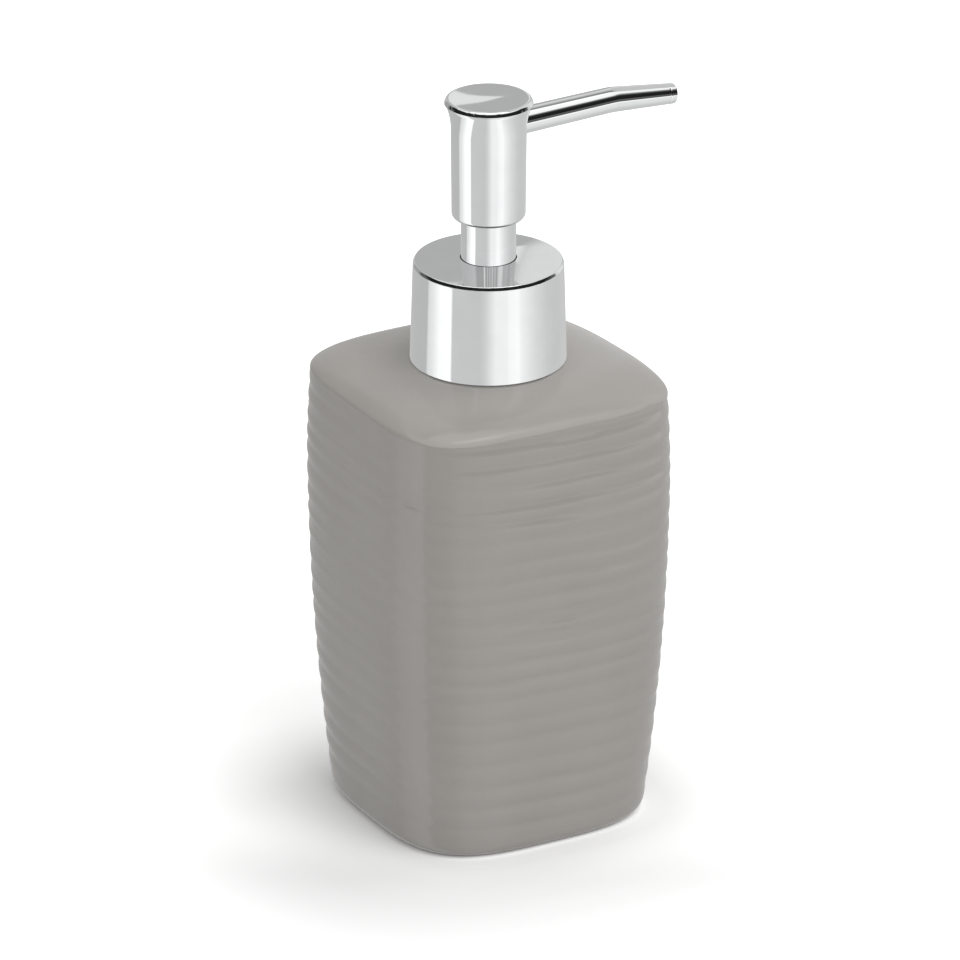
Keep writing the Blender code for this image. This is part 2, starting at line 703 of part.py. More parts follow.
def guide_cap():
    """Flanged cup that closes the housing, keeps the nut on it and guides the stem."""
    flange_radius = guide_radius + GUIDE_FLANGE_WIDTH
    outline = rounded([
        (flange_radius, guide_top, 0),
        (flange_radius, guide_flange_foot, 0),
        (guide_radius, guide_flange_foot, 0),
        (guide_radius, guide_floor_foot, 0),
        (stem_hole_radius, guide_floor_foot, 0),
        (stem_hole_radius, guide_floor_top, 0),
        (guide_bore_radius, guide_floor_top, 0),
        (guide_bore_radius, guide_top, 0),
    ])
    return settle(turned("guide_cap", outline, MEDIUM_STEPS), white_plastic)


def stem_wiper():
    """Soft ring that wipes the stem."""
    foot = guide_floor_top + SEAT_GAP
    outer = sleeve_bore_radius - RUN_GAP
    outline = rounded([
        (stem_hole_radius + WIPER_LIP, foot + WIPER_HEIGHT, 0),
        (stem_hole_radius + WIPER_SHOULDER, foot + WIPER_BASE, 0),
        (outer, foot + WIPER_BASE, 0),
        (outer, foot, 0),
        (stem_hole_radius, foot, 0),
        (stem_hole_radius, foot + WIPER_HEIGHT, 0),
    ])
    return settle(turned("stem_wiper", outline, SMALL_STEPS), grey_rubber)


def dip_tube():
    """Tube from the housing's socket to just above the floor, cut slanted at its foot."""
    outline = rounded([
        (DIP_TUBE_RADIUS, dip_tube_top, 0),
        (DIP_TUBE_RADIUS, dip_tube_foot, 0),
        (DIP_TUBE_RADIUS - DIP_TUBE_WALL, dip_tube_foot, 0),
        (DIP_TUBE_RADIUS - DIP_TUBE_WALL, dip_tube_top, 0),
    ])
    item = turned("dip_tube", outline, TUBE_STEPS)
    slant = radians(DIP_TUBE_CUT_ANGLE)
    side = 4 * DIP_TUBE_RADIUS
    on_axis = Matrix.Translation((0, 0, dip_tube_foot + DIP_TUBE_RADIUS * tan(slant)))
    place = on_axis @ Matrix.Rotation(-slant, 4, "Y") @ Matrix.Translation((0, 0, -side / 2))
    knife = box_cutter("dip_tube_slant", (side, side, side), place)
    return settle(combine(item, knife, "DIFFERENCE"), clear_plastic)


def ball(name, radius, height):
    """Valve ball on the vertical axis."""
    shape = bmesh.new()
    bmesh.ops.create_uvsphere(shape, u_segments=BALL_SEGMENTS, v_segments=BALL_RINGS, radius=radius)
    mesh = bpy.data.meshes.new(name)
    shape.to_mesh(mesh)
    shape.free()
    item = link(name, mesh, "soap_dispenser")
    item.location = (0, 0, height)
    return settle(item, spring_steel)


def ball_cage():
    """Cage over the inlet ball, with windows for the soap and a seat for the spring."""
    outline = rounded([
        (0, cage_top, 0),
        (cage_radius, cage_top, SEAT_GAP),
        (cage_radius, cage_flange_top, 0),
        (piston_radius, cage_flange_top, 0),
        (piston_radius, cage_foot, 0),
        (cage_bore_radius, cage_foot, 0),
        (cage_bore_radius, cage_recess_top, 0),
        (0, cage_recess_top, 0),
    ])
    item = turned("ball_cage", outline, SMALL_STEPS)
    centre = Matrix.Translation((0, 0, cage_flange_top + CAGE_WINDOW_SILL + CAGE_WINDOW_HEIGHT / 2))
    size = (2 * (cage_radius + CUT_OVERRUN), CAGE_WINDOW_WIDTH, CAGE_WINDOW_HEIGHT)
    for index in range(2):
        place = centre @ Matrix.Rotation(index * pi / 2, 4, "Z")
        combine(item, box_cutter(f"cage_window_{index + 1}", size, place), "DIFFERENCE")
    return settle(item, white_plastic)


def spring_points():
    """Points of the return spring: a closed turn at each end and open turns between them."""
    foot = cage_flange_top + SEAT_GAP + WIRE_RADIUS
    top = carrier_flange_foot - SEAT_GAP - WIRE_RADIUS
    end_pitch = 2 * WIRE_RADIUS + SPRING_END_GAP
    open_pitch = (top - foot - 2 * SPRING_END_TURNS * end_pitch) / SPRING_ACTIVE_TURNS
    points = []
    height = foot
    total_turns = SPRING_ACTIVE_TURNS + 2 * SPRING_END_TURNS
    for step in range(total_turns * SPRING_POINTS_PER_TURN + 1):
        turn = step / SPRING_POINTS_PER_TURN
        angle = 2 * pi * turn
        points.append(Vector((coil_radius * cos(angle), coil_radius * sin(angle), height)))
        at_an_end = turn < SPRING_END_TURNS or turn >= total_turns - SPRING_END_TURNS
        height += (end_pitch if at_an_end else open_pitch) / SPRING_POINTS_PER_TURN
    return points


def return_spring():
    """Compression spring between the ball cage and the piston carrier."""
    points = spring_points()
    gap = min((points[index + SPRING_POINTS_PER_TURN] - points[index]).length
              for index in range(len(points) - SPRING_POINTS_PER_TURN)) - 2 * WIRE_RADIUS
    print(f"least gap between the spring's turns: {gap / MM:.2f} mm")
    item = tube("return_spring", points, [WIRE_RADIUS] * len(points), SPRING_BEVEL_RESOLUTION)
    return settle(item, spring_steel)


def piston_carrier():
    """Hollow spigot that holds the seal on the stem and bears on the spring."""
    outline = rounded([
        (spigot_radius, stem_foot + SPIGOT_LENGTH, 0),
        (spigot_radius, carrier_flange_top, 0),
        (piston_radius - CARRIER_RECESS, carrier_flange_top, 0),
        (piston_radius - CARRIER_RECESS, carrier_flange_foot, 0),
        (cage_radius, carrier_flange_foot, 0),
        (cage_radius, carrier_foot, SEAT_GAP),
        (spigot_bore_radius, carrier_foot, 0),
        (spigot_bore_radius, stem_foot + SPIGOT_LENGTH, 0),
    ])
    return settle(turned("piston_carrier", outline, SMALL_STEPS), white_plastic)


def piston_seal():
    """Double-lipped seal that slides in the cylinder."""
    waist = piston_radius - SEAL_WAIST
    outline = rounded([
        (piston_radius, seal_top, 0),
        (piston_radius, seal_top - SEAL_LIP_HEIGHT, 0),
        (waist, seal_top - SEAL_LIP_HEIGHT - SEAL_LIP_TAPER, 0),
        (waist, seal_foot + SEAL_LIP_HEIGHT + SEAL_LIP_TAPER, 0),
        (piston_radius, seal_foot + SEAL_LIP_HEIGHT, 0),
        (piston_radius, seal_foot, 0),
        (stem_hole_radius, seal_foot, 0),
        (stem_hole_radius, seal_top, 0),
    ])
    return settle(turned("piston_seal", outline, SMALL_STEPS), grey_rubber)


def pump_stem():
    """Hollow stem from the piston up into the head, with the shoulder that stops the upstroke."""
    shoulder_radius = STEM_RADIUS + STEM_SHOULDER
    outline = rounded([
        (STEM_RADIUS, stem_top, 0),
        (STEM_RADIUS, stem_shoulder_top, 0),
        (shoulder_radius, stem_shoulder_top, 0),
        (shoulder_radius, stem_shoulder_foot, 0),
        (STEM_RADIUS, stem_shoulder_foot, 0),
        (STEM_RADIUS, stem_foot, 0),
        (spigot_socket_radius, stem_foot, 0),
        (spigot_socket_radius, stem_foot + SPIGOT_LENGTH + SEAT_GAP, 0),
        (STEM_BORE_RADIUS, stem_foot + SPIGOT_LENGTH + SEAT_GAP, 0),
        (STEM_BORE_RADIUS, stem_top, 0),
    ])
    return settle(turned("pump_stem", outline, SMALL_STEPS), white_plastic)


def stem_sleeve():
    """Chromed sleeve around the stem, hung in the head by its lip."""
    outline = rounded([
        (core_radius, sleeve_top, 0),
        (core_radius, sleeve_top - SLEEVE_LIP_THICKNESS, 0),
        (SLEEVE_RADIUS, sleeve_top - SLEEVE_LIP_THICKNESS, 0),
        (SLEEVE_RADIUS, sleeve_foot, SEAT_GAP),
        (sleeve_bore_radius, sleeve_foot, 0),
        (sleeve_bore_radius, sleeve_top, 0),
    ])
    return settle(turned("stem_sleeve", outline, MEDIUM_STEPS), chrome_plate)


def head_shell():
    """Chromed shell of the head, flaring out under its cap."""
    flare_foot = shell_top - HEAD_FLARE_HEIGHT
    neck = head_radius + HEAD_DRAFT
    hole_radius = SLEEVE_RADIUS + SEAT_GAP
    corners = []
    for step in range(FLARE_SEGMENTS + 1):
        share = 1 - step / FLARE_SEGMENTS
        radius = neck + HEAD_FLARE * share ** HEAD_FLARE_CURVE
        corners.append((radius, flare_foot + HEAD_FLARE_HEIGHT * share, 0))
    corners.append((head_radius, head_foot, HEAD_FOOT_FILLET))
    corners.append((hole_radius, head_foot, 0))
    corners.append((hole_radius, ledge_top, 0))
    corners.append((head_bore_radius, ledge_top, 0))
    corners.append((head_bore_radius, shell_top, 0))
    item = turned("head_shell", rounded(corners), WIDE_STEPS)
    start = spout_frame(SPOUT_ROOT_REACH)
    hole = cylinder_cutter("shell_spout_hole", SPOUT_ROOT_RADIUS + SEAT_GAP, head_radius + CUT_OVERRUN, start)
    return settle(combine(item, hole, "DIFFERENCE"), chrome_plate)


def head_cap():
    """Chromed disc on top of the head, where a finger presses."""
    radius = head_radius + HEAD_DRAFT + HEAD_FLARE + CAP_LIP
    outline = rounded([
        (0, head_top, 0),
        (radius - CAP_TAPER, head_top, CAP_TOP_FILLET),
        (radius, cap_foot + CAP_SKIRT, CAP_FOOT_FILLET),
        (radius, cap_foot, CAP_FOOT_FILLET),
        (0, cap_foot, 0),
    ])
    return settle(turned("head_cap", outline, WIDE_STEPS), chrome_plate)


def head_core():
    """Plastic core of the head: it grips the stem, holds the outlet ball and leads soap to the spout."""
    passage_top = spout_root_height + OUTLET_NECK_RISE
    outline = rounded([
        (0, shell_top, 0),
        (core_radius, shell_top, 0),
        (core_radius, core_foot, 0),
        (sleeve_bore_radius - SEAT_GAP, core_foot, 0),
        (sleeve_bore_radius - SEAT_GAP, core_boss_foot, 0),
        (STEM_RADIUS + SEAT_GAP, core_boss_foot, 0),
        (STEM_RADIUS + SEAT_GAP, core_socket_top, 0),
        (outlet_chamber_radius, core_socket_top, 0),
        (outlet_chamber_radius, outlet_chamber_top, 0),
        (OUTLET_NECK_RADIUS, outlet_chamber_top, 0),
        (OUTLET_NECK_RADIUS, passage_top, 0),
        (0, passage_top, 0),
    ])
    item = turned("head_core", outline, SMALL_STEPS)
    socket = cylinder_cutter("core_spout_socket", SPOUT_ROOT_RADIUS + SEAT_GAP, head_radius + CUT_OVERRUN,
                             spout_frame(SPOUT_ROOT_REACH - SEAT_GAP))
    passage = cylinder_cutter("core_passage", OUTLET_NECK_RADIUS, head_radius, spout_frame(0))
    combine(item, socket, "DIFFERENCE")
    combine(item, passage, "DIFFERENCE")
    return settle(item, white_plastic)


def spout_frame(reach):
    """A frame on the spout's rising line at this reach, with its Z axis along the line."""
    slope = radians(SPOUT_RISE_ANGLE)
    origin = spout_point(reach)
    return Matrix.Translation(origin) @ Matrix.Rotation(pi / 2 - slope, 4, "Y")


def spout_point(reach):
    """A point of the spout's centre line, which rises to the bend and falls after it."""
    rise = tan(radians(SPOUT_RISE_ANGLE))
    fall = tan(radians(SPOUT_FALL_ANGLE))
    height = spout_root_height + (min(reach, SPOUT_BEND_REACH) - head_radius) * rise
    from_bend = (reach - SPOUT_BEND_REACH) / SPOUT_BEND_HALF_LENGTH
    if abs(from_bend) < 1:
        drop = (rise + fall) * SPOUT_BEND_HALF_LENGTH * (1 + from_bend) ** 2 / 4
        height = spout_root_height + (reach - head_radius) * rise - drop
    elif from_bend > 0:
        height -= (reach - SPOUT_BEND_REACH) * fall
    return Vector((reach, 0, height))


def spout_radius(reach):
    """Outer radius of the spout, which tapers to the bend and on to the tip."""
    if reach < SPOUT_BEND_REACH:
        share = max(0, reach - head_radius) / (SPOUT_BEND_REACH - head_radius)
        return SPOUT_ROOT_RADIUS + (SPOUT_BEND_RADIUS - SPOUT_ROOT_RADIUS) * share
    share = (reach - SPOUT_BEND_REACH) / (SPOUT_REACH - SPOUT_BEND_REACH)
    return SPOUT_BEND_RADIUS + (SPOUT_TIP_RADIUS - SPOUT_BEND_RADIUS) * share


def spout_bar(name, start, end, inset, group="soap_dispenser"):
    """A bar along the spout from one reach to another, thinner than the spout by the inset."""
    bend_start = SPOUT_BEND_REACH - SPOUT_BEND_HALF_LENGTH
    bend_step = 2 * SPOUT_BEND_HALF_LENGTH / BEND_SEGMENTS
    reaches = [start, head_radius]
    reaches += [bend_start + step * bend_step for step in range(BEND_SEGMENTS + 1)]
    reaches.append(end)
    path = [spout_point(reach) for reach in reaches]
    radii = [spout_radius(reach) - inset for reach in reaches]
    return tube(name, path, radii, SPOUT_BEVEL_RESOLUTION, group)


def hollow_spout(name, start, end, inset, wall, material):
    """A bar along the spout with a bore that runs out of both ends."""
    item = spout_bar(name, start, end, inset)
    bore = spout_bar(name + "_bore", start - CUT_OVERRUN, end + CUT_OVERRUN, inset + wall, "cutters")
    return settle(combine(item, as_cutter(bore), "DIFFERENCE"), material)


def spout_tube():
    """Chromed spout."""
    return hollow_spout("spout_tube", SPOUT_ROOT_REACH, SPOUT_REACH, 0, SPOUT_WALL, chrome_plate)


def spout_liner():
    """Plastic tube inside the spout that the soap runs through."""
    return hollow_spout("spout_liner", SPOUT_ROOT_REACH, SPOUT_REACH - SPOUT_LINER_SETBACK,
                        SPOUT_WALL + SEAT_GAP, SPOUT_LINER_WALL, white_plastic)


def joint_axis(name, height, parent=None):
    """An empty on the vertical axis that carries the pieces that move together."""
    empty = bpy.data.objects.new(name, None)
    collection("soap_dispenser").objects.link(empty)
    empty.empty_display_size = SLEEVE_SHOWN
    empty.location = (0, 0, height)
    carry(empty, parent)
    return empty


def carry(item, parent):
    """Parent an object to an empty without moving it."""
    if parent is not None:
        item.parent = parent
        bpy.context.view_layer.update()
        item.matrix_parent_inverse = parent.matrix_world.inverted()


def main():
    """Build the dispenser, group by moving group."""
    clear_scene()
    bottle()
    neck_insert()
    pump_axis = joint_axis("pump_axis", insert_flange_top)
    closure_axis = joint_axis("closure_axis", nut_foot, pump_axis)
    plunger_axis = joint_axis("plunger_axis", stem_foot, pump_axis)
    head_axis = joint_axis("head_axis", head_foot, plunger_axis)
    groups = (
        (pump_axis, (neck_gasket, pump_housing, guide_cap, stem_wiper, ball_cage, dip_tube)),
        (closure_axis, (closure_nut, collar_cover)),
        (plunger_axis, (piston_seal, piston_carrier, return_spring)),
        (head_axis, (pump_stem, stem_sleeve, head_shell, head_cap, head_core, spout_tube, spout_liner)),
    )
    for axis, pieces in groups:
        for piece in pieces:
            carry(piece(), axis)
    carry(ball("inlet_ball", inlet_ball_radius, inlet_ball_height), pump_axis)
    carry(ball("outlet_ball", outlet_ball_radius, outlet_ball_height), head_axis)


main()
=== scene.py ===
"""The look of the soap dispenser: a rippled, glazed bottle and a chromed pump in a white studio.

Lengths are in metres. The origin is the centre of the bottle's foot, +Z is up, and the spout points along +X.
Bearings are in degrees. On the bottle they run round from the spout's side, seen from above.
"""

import json
from math import asin, ceil, cos, degrees, exp, pi, radians, sin, tan

import bmesh
import bpy
import numpy as np
from mathutils import Matrix, Vector, noise


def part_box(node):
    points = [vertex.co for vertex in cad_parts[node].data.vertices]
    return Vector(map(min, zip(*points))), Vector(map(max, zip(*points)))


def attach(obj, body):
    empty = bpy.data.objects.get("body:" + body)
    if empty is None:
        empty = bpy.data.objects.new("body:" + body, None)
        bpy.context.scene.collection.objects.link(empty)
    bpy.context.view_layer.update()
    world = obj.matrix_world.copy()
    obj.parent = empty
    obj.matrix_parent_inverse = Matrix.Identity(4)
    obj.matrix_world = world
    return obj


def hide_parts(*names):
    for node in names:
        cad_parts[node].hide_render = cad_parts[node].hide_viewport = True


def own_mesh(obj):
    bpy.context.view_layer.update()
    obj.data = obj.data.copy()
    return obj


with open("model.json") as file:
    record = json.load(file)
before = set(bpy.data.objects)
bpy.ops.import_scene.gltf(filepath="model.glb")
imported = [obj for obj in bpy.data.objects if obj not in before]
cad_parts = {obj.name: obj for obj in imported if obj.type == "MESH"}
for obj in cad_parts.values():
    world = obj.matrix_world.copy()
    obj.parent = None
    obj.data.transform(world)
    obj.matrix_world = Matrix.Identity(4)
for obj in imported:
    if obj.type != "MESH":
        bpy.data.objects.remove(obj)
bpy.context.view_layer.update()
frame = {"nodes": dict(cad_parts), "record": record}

MM = 0.001
# The nodes that the scene's own pieces stand for, and the bodies that they ride on
BODIES = {"bottle": "vessel", "collar_cover": "closure", "stem_sleeve": "head", "head_shell": "head",
          "head_cap": "head", "spout_tube": "head", "return_spring": "plunger"}

# The bottle's sizes, as in the solid, apart from the foot's rounder edge
BOTTLE_HEIGHT = 113.5 * MM
BASE_HALF_WIDTH = 32.95 * MM
BELLY_HALF_WIDTH = 37.05 * MM
BELLY_HEIGHT = 82.3 * MM
SHOULDER_HALF_WIDTH = 36.05 * MM
DOME_RISE = 5.5 * MM
LAND_DIP = 0.45 * MM
FOOT_FILLET = 3.0 * MM
BOTTLE_WALL = 4.0 * MM
BOTTLE_TOP_WALL = 4.2 * MM
BOTTLE_FLOOR = 5.0 * MM
CAVITY_FILLET = 3.0 * MM
MOUTH_RADIUS = 14.3 * MM
MOUTH_FILLET = 0.6 * MM
BASE_SQUARENESS = 3.4
SHOULDER_SQUARENESS = 4.25
CROWN_SQUARENESS = 1.8
MOUTH_SQUARENESS = 2.0
FLANK_CURVE = 2.1
DOME_SPREAD = 3.5
DOME_LIFT = 1.45
SHOULDER_HEIGHT = BOTTLE_HEIGHT - DOME_RISE

# How the hand-made bottle's top leaves its even shape: a tuck and a bulge, each with its bearing and reach
CORNER_TUCK = 2.4 * MM
CORNER_TUCK_PLACE = (40, 23)
CORNER_BULGE = 0.4 * MM
CORNER_BULGE_PLACE = (-14, 13)
CORNER_TUCK_FOOT = 60 * MM

# How finely the bottle is drawn
BOTTLE_COLUMNS = 320
FOOT_RINGS = 10
BARREL_RINGS = 300
DOME_RINGS = 48
CAVITY_DOME_RINGS = 8
CAVITY_WALL_RINGS = 12
CAVITY_FILLET_RINGS = 5
CENTRE_SHARE = 0.02
FOOT_SHARES = (CENTRE_SHARE, 0.3, 0.6, 0.85)

# The hand-thrown ripples: their grooves' heights, and their depth and rise by bearing
GROOVES = [height * MM for height in (8.0, 13.6, 19.1, 25.2, 31.4, 36.3, 42.2, 46.8, 51.6, 56.7,
                                      62.3, 67.7, 72.3, 77.2, 83.0, 87.8, 91.8, 96.8, 102.0, 107.0)]
RIPPLE_DEPTH = 0.34 * MM
RIPPLE_BEARINGS = (0, 60, 110, 140, 165, 205, 225, 245, 270, 292, 315, 360)
RIPPLE_SHARES = (0.6, 0.65, 0.7, 0.8, 0.5, 0.34, 0.42, 0.7, 0.88, 0.74, 0.5, 0.6)
RIPPLE_RISES = [rise * MM for rise in (0.2, 1.0, 1.8, 2.1, 1.0, 0.7, 0.7, 0.2, -0.4, -0.8, -0.7, 0.2)]
LEAST_RIPPLE_SHARE = 0.05
TOP_RIPPLE_SQUEEZE = 0.5
# A groove's section: a fine line in a round hollow
LINE_SHARE = 0.3
LINE_REACH = 0.16
# Places on the bottle: a middle and a reach, by bearing or by height
LEFT_FACE = (180, 30)
RIGHT_FACE = (270, 34)
BESIDE_CORNER = (220, 20)
FRONT_CORNER = (214, 14)
TOP_LEFT = (175, 42)
MIDDLE_PART = (66 * MM, 24 * MM)
# Heights between which the changes of the upper part and of the top edge come in
UPPER_PART = (74 * MM, 96 * MM)
TOP_EDGE = (103.5 * MM, 106 * MM)
# By how much the ripples are deeper or shallower there
UPPER_LEFT_GAIN = 0.8
UPPER_RIGHT_LOSS = 0.1
UPPER_CORNER_LOSS = 0.4
TOP_LEFT_LOSS = 0.8
MIDDLE_LEFT_LOSS = 0.45
DEPTH_UNEVENNESS = 0.5
CORNER_UNEVENNESS = 0.3
CORNER_MARKS = 0.25
# Smooth noise round the bottle: its scale round the bottle, its scale upwards and its seed
GROOVE_WANDER = (2.2, 15 * MM, 11.7)
DEPTH_WANDER = (1.6, 9 * MM, 51.2)
CORNER_WANDER = (7, 4 * MM, 66.6)
FORK_WANDER = (1.4, 13 * MM, 37.9)
GROOVE_SWAY = 0.45 * MM
FORK_START = 0.1

# The pump's sizes, as in the solids, and its trim
SEAT_GAP = 0.3 * MM
SMALL_FILLET = 0.1 * MM
COLLAR_LIFT = 0.1 * MM
COLLAR_WALL = 1.0 * MM
COLLAR_PLATE = 1.2 * MM
COLLAR_DRAFT = 0.7 * MM
COLLAR_RIM_SLOPE = 0.35 * MM
COLLAR_RIM_DROP = 0.78 * MM
COLLAR_RIM_FILLET = 0.35 * MM
COLLAR_EDGE_FILLET = 0.5 * MM
COLLAR_FOOT_FILLET = 0.12 * MM
COLLAR_INNER_FILLET = 0.3 * MM
COLLAR_CROWN = 0.9 * MM
COLLAR_HOLE_RADIUS = 6.7 * MM
SLEEVE_RADIUS = 6.5 * MM
SLEEVE_WALL = 0.7 * MM
SLEEVE_LIP = 0.8 * MM
HEAD_RADIUS = 8.7 * MM
HEAD_WALL = 1.2 * MM
HEAD_LEDGE_THICKNESS = 1.5 * MM
HEAD_DRAFT = 0.2 * MM
HEAD_FOOT_FILLET = 1.2 * MM
HEAD_FLARE_HEIGHT = 5.7 * MM
HEAD_FLARE = 1.15 * MM
HEAD_FLARE_CURVE = 1.9
CAP_SEAM = 0.05 * MM
CAP_TAPER = 0.485 * MM
CAP_SKIRT = 0.33 * MM
CAP_TOP_FILLET = 0.85 * MM
CAP_FOOT_FILLET = 0.2 * MM
CAP_DISH = 0.25 * MM
SPOUT_ROOT_RADIUS = 3.2 * MM
SPOUT_BEND_RADIUS = 3.05 * MM
SPOUT_TIP_RADIUS = 2.45 * MM
SPOUT_WALL = 0.5 * MM
SPOUT_LIP = 0.12 * MM
SPOUT_COVER = 2.4 * MM
SPOUT_ROOT_REACH = 3.0 * MM
SPOUT_BEND_REACH = 32.7 * MM
SPOUT_REACH = 49.6 * MM
SPOUT_SLOPE = radians(1.9)
SPOUT_RISE = tan(SPOUT_SLOPE)
SPOUT_FALL = tan(radians(5.1))
SPOUT_BEND_HALF_LENGTH = 1.1 * MM
SPOUT_GROOVE_REACH = 1.7 * MM
SPOUT_GROOVE_DEPTH = 0.035 * MM
SPOUT_GROOVE_WIDTH = 0.16 * MM
SPOUT_HOLE_OVERRUN = 4 * MM
WIRE_RADIUS = 0.35 * MM
SPRING_END_GAP = 0.5 * MM
SPRING_ACTIVE_TURNS = 6

# How finely the pump is drawn
ROUND_STEPS = 320
CURVE_STEPS = 24
FILLET_STEPS = 12
FINE_STEP = 0.5 * MM
LEAST_RADIUS = 0.02 * MM
SHARP_ANGLE = radians(35)
SPOUT_SIDES = 72
SPOUT_RING_COUNTS = (24, 18, 16, 16, 6)
SPOUT_LIP_RINGS = 5
SPOUT_HOLE_SIDES = 96
TANGENT_STEP = 0.05 * MM
SPRING_STEPS = 40
WIRE_SIDES = 12

# Tiny dents along the plated edges
NICK_REACH = 0.7 * MM
NICK_PITCH = 1.1 * MM
COLLAR_NICK_DEPTH = 0.09 * MM
COLLAR_NICK_SEED = 9.6
CAP_NICK_DEPTH = 0.22 * MM
CAP_NICK_SEED = 4.2
NICK_START = 0.16
NICK_LEAST = 0.01

# The camera: its bearing, height and distance, and the pixel that its aim point falls on
IMAGE_SIZE = 960
CAMERA_FORWARD = Vector((0.4872, 0.8733))
CAMERA_RIGHT = (CAMERA_FORWARD.y, -CAMERA_FORWARD.x, 0)
CAMERA_ELEVATION = radians(23.485)
CAMERA_ROLL = radians(-0.105)
CAMERA_DISTANCE = 2.0516
CAMERA_PIXELS = 8713
CAMERA_AIM = Vector((0, 0, 0.113876))
CAMERA_AIM_PIXEL = (488.24, 355.48)
SENSOR_WIDTH = 36

# The usual values of a noise texture
NOISE_LOW = 0.3
NOISE_HIGH = 0.7


class Nodes:
    """Adds nodes to a material's or the world's tree, and links what it is given."""

    def __init__(self, owner):
        owner.use_nodes = True
        self.tree = owner.node_tree
        self.tree.nodes.clear()

    def add(self, kind, inputs=(), **settings):
        node = self.tree.nodes.new(kind)
        for key, value in settings.items():
            setattr(node, key, value)
        for key, value in dict(inputs).items():
            self.feed(node.inputs[key], value)
        return node

    def feed(self, socket, value):
        if isinstance(value, bpy.types.NodeSocket):
            self.tree.links.new(value, socket)
        else:
            socket.default_value = value

    def maths(self, operation, *values):
        return self.add("ShaderNodeMath", enumerate(values), operation=operation).outputs[0]

    def times(self, first, second):
        return self.maths("MULTIPLY", first, second)

    def along(self, vector, direction):
        """How far a vector reaches along a direction."""
        node = self.add("ShaderNodeVectorMath", {0: vector, 1: direction}, operation="DOT_PRODUCT")
        return node.outputs["Value"]

    def upwards(self, vector):
        return self.add("ShaderNodeSeparateXYZ", {0: vector}).outputs["Z"]

    def noise(self, place, scale, detail=2.0, roughness=0.5, distortion=0.0):
        inputs = {"Vector": place, "Scale": scale, "Detail": detail, "Roughness": roughness,
                  "Distortion": distortion}
        return self.add("ShaderNodeTexNoise", inputs).outputs["Fac"]

    def span(self, value, low, high, to_low, to_high, smooth=True):
        """Carry a value from one range to another, held at both ends."""
        inputs = {"Value": value, "From Min": low, "From Max": high, "To Min": to_low, "To Max": to_high}
        kind = "SMOOTHSTEP" if smooth else "LINEAR"
        return self.add("ShaderNodeMapRange", inputs, interpolation_type=kind).outputs[0]

    def rise(self, value, low, high):
        return self.span(value, low, high, 0.0, 1.0)

    def fall(self, value, low, high):
        return self.span(value, low, high, 1.0, 0.0)

    def vary(self, texture, low, high):
        """A number between two, by a noise texture."""
        return self.span(texture, NOISE_LOW, NOISE_HIGH, low, high)

    def ramp(self, value, stops):
        """Colour by position. A stop's colour is three numbers, or one for a grey."""
        node = self.add("ShaderNodeValToRGB", {"Fac": value})
        band = node.color_ramp
        while len(band.elements) < len(stops):
            band.elements.new(1.0)
        for element, (position, colour) in zip(band.elements, stops):
            element.position = position
            element.color = (*colour, 1) if isinstance(colour, tuple) else (colour, colour, colour, 1)
        return node.outputs["Color"]

    def shade(self, texture, dark, light):
        """A colour between two, by a noise texture."""
        return self.ramp(texture, ((NOISE_LOW, dark), (NOISE_HIGH, light)))

    def by(self, value, table):
        """A number by position in a table, straight between its entries. None of the numbers is negative."""
        low, high = table[0][0], table[-1][0]
        top = max(number for _, number in table)
        share = self.span(value, low, high, 0.0, 1.0, smooth=False)
        stops = [((position - low) / (high - low), number / top) for position, number in table]
        grey = self.ramp(share, stops)
        return self.times(self.add("ShaderNodeSeparateColor", {0: grey}).outputs[0], top)

    def mix(self, share, first, second, kind="FLOAT"):
        """Between two numbers, or two colours of the kind RGBA, by a share."""
        node = self.add("ShaderNodeMix", {"Factor": share, "A": first, "B": second}, data_type=kind)
        return node.outputs["Result"]

    def place(self, stretch=(1, 1, 1)):
        """The point in the piece's own frame, stretched along its axes."""
        point = self.add("ShaderNodeTexCoord").outputs["Object"]
        return self.add("ShaderNodeMapping", {"Vector": point, "Scale": stretch}).outputs[0]

    def bump(self, height, strength, distance, under=None):
        inputs = {"Height": height, "Strength": strength, "Distance": distance}
        if under is not None:
            inputs["Normal"] = under
        return self.add("ShaderNodeBump", inputs).outputs[0]

    def surface(self, inputs):
        """Make a Principled shader with these inputs the material's surface."""
        self.show("ShaderNodeOutputMaterial", self.add("ShaderNodeBsdfPrincipled", inputs))

    def show(self, output, shader):
        self.tree.links.new(shader.outputs[0], self.add(output).inputs["Surface"])


def material(name):
    made = bpy.data.materials.new(name)
    return made, Nodes(made)


def glaze():
    """Warm grey glaze: soft mottling, a little darker where it pools in grooves, and a faint orange peel."""
    made, n = material("glaze")
    place = n.place()
    cloud = n.noise(place, scale=38, detail=4, roughness=0.55, distortion=0.3)
    ground = n.shade(cloud, dark=(0.294, 0.281, 0.262), light=(0.310, 0.297, 0.277))
    speck = n.span(n.noise(place, scale=900), low=0.62, high=0.75, to_low=0, to_high=0.12)
    spotted = n.mix(speck, ground, (0.24, 0.23, 0.21, 1), "RGBA")
    groove = n.add("ShaderNodeAttribute", attribute_name="groove").outputs["Fac"]
    pool = n.span(groove, low=0.2, high=1.0, to_low=0.0, to_high=0.25)
    pooled = n.mix(pool, spotted, (0.262, 0.250, 0.230, 1), "RGBA")
    rough = n.vary(n.noise(place, scale=140, detail=3), low=0.12, high=0.17)
    peel = n.bump(n.noise(place, scale=420), strength=0.1, distance=0.02 * MM)
    swell = n.bump(n.noise(place, scale=75), strength=0.1, distance=0.15 * MM, under=peel)
    n.surface({"Base Color": pooled, "Roughness": rough, "Normal": swell, "IOR": 1.5})
    return made


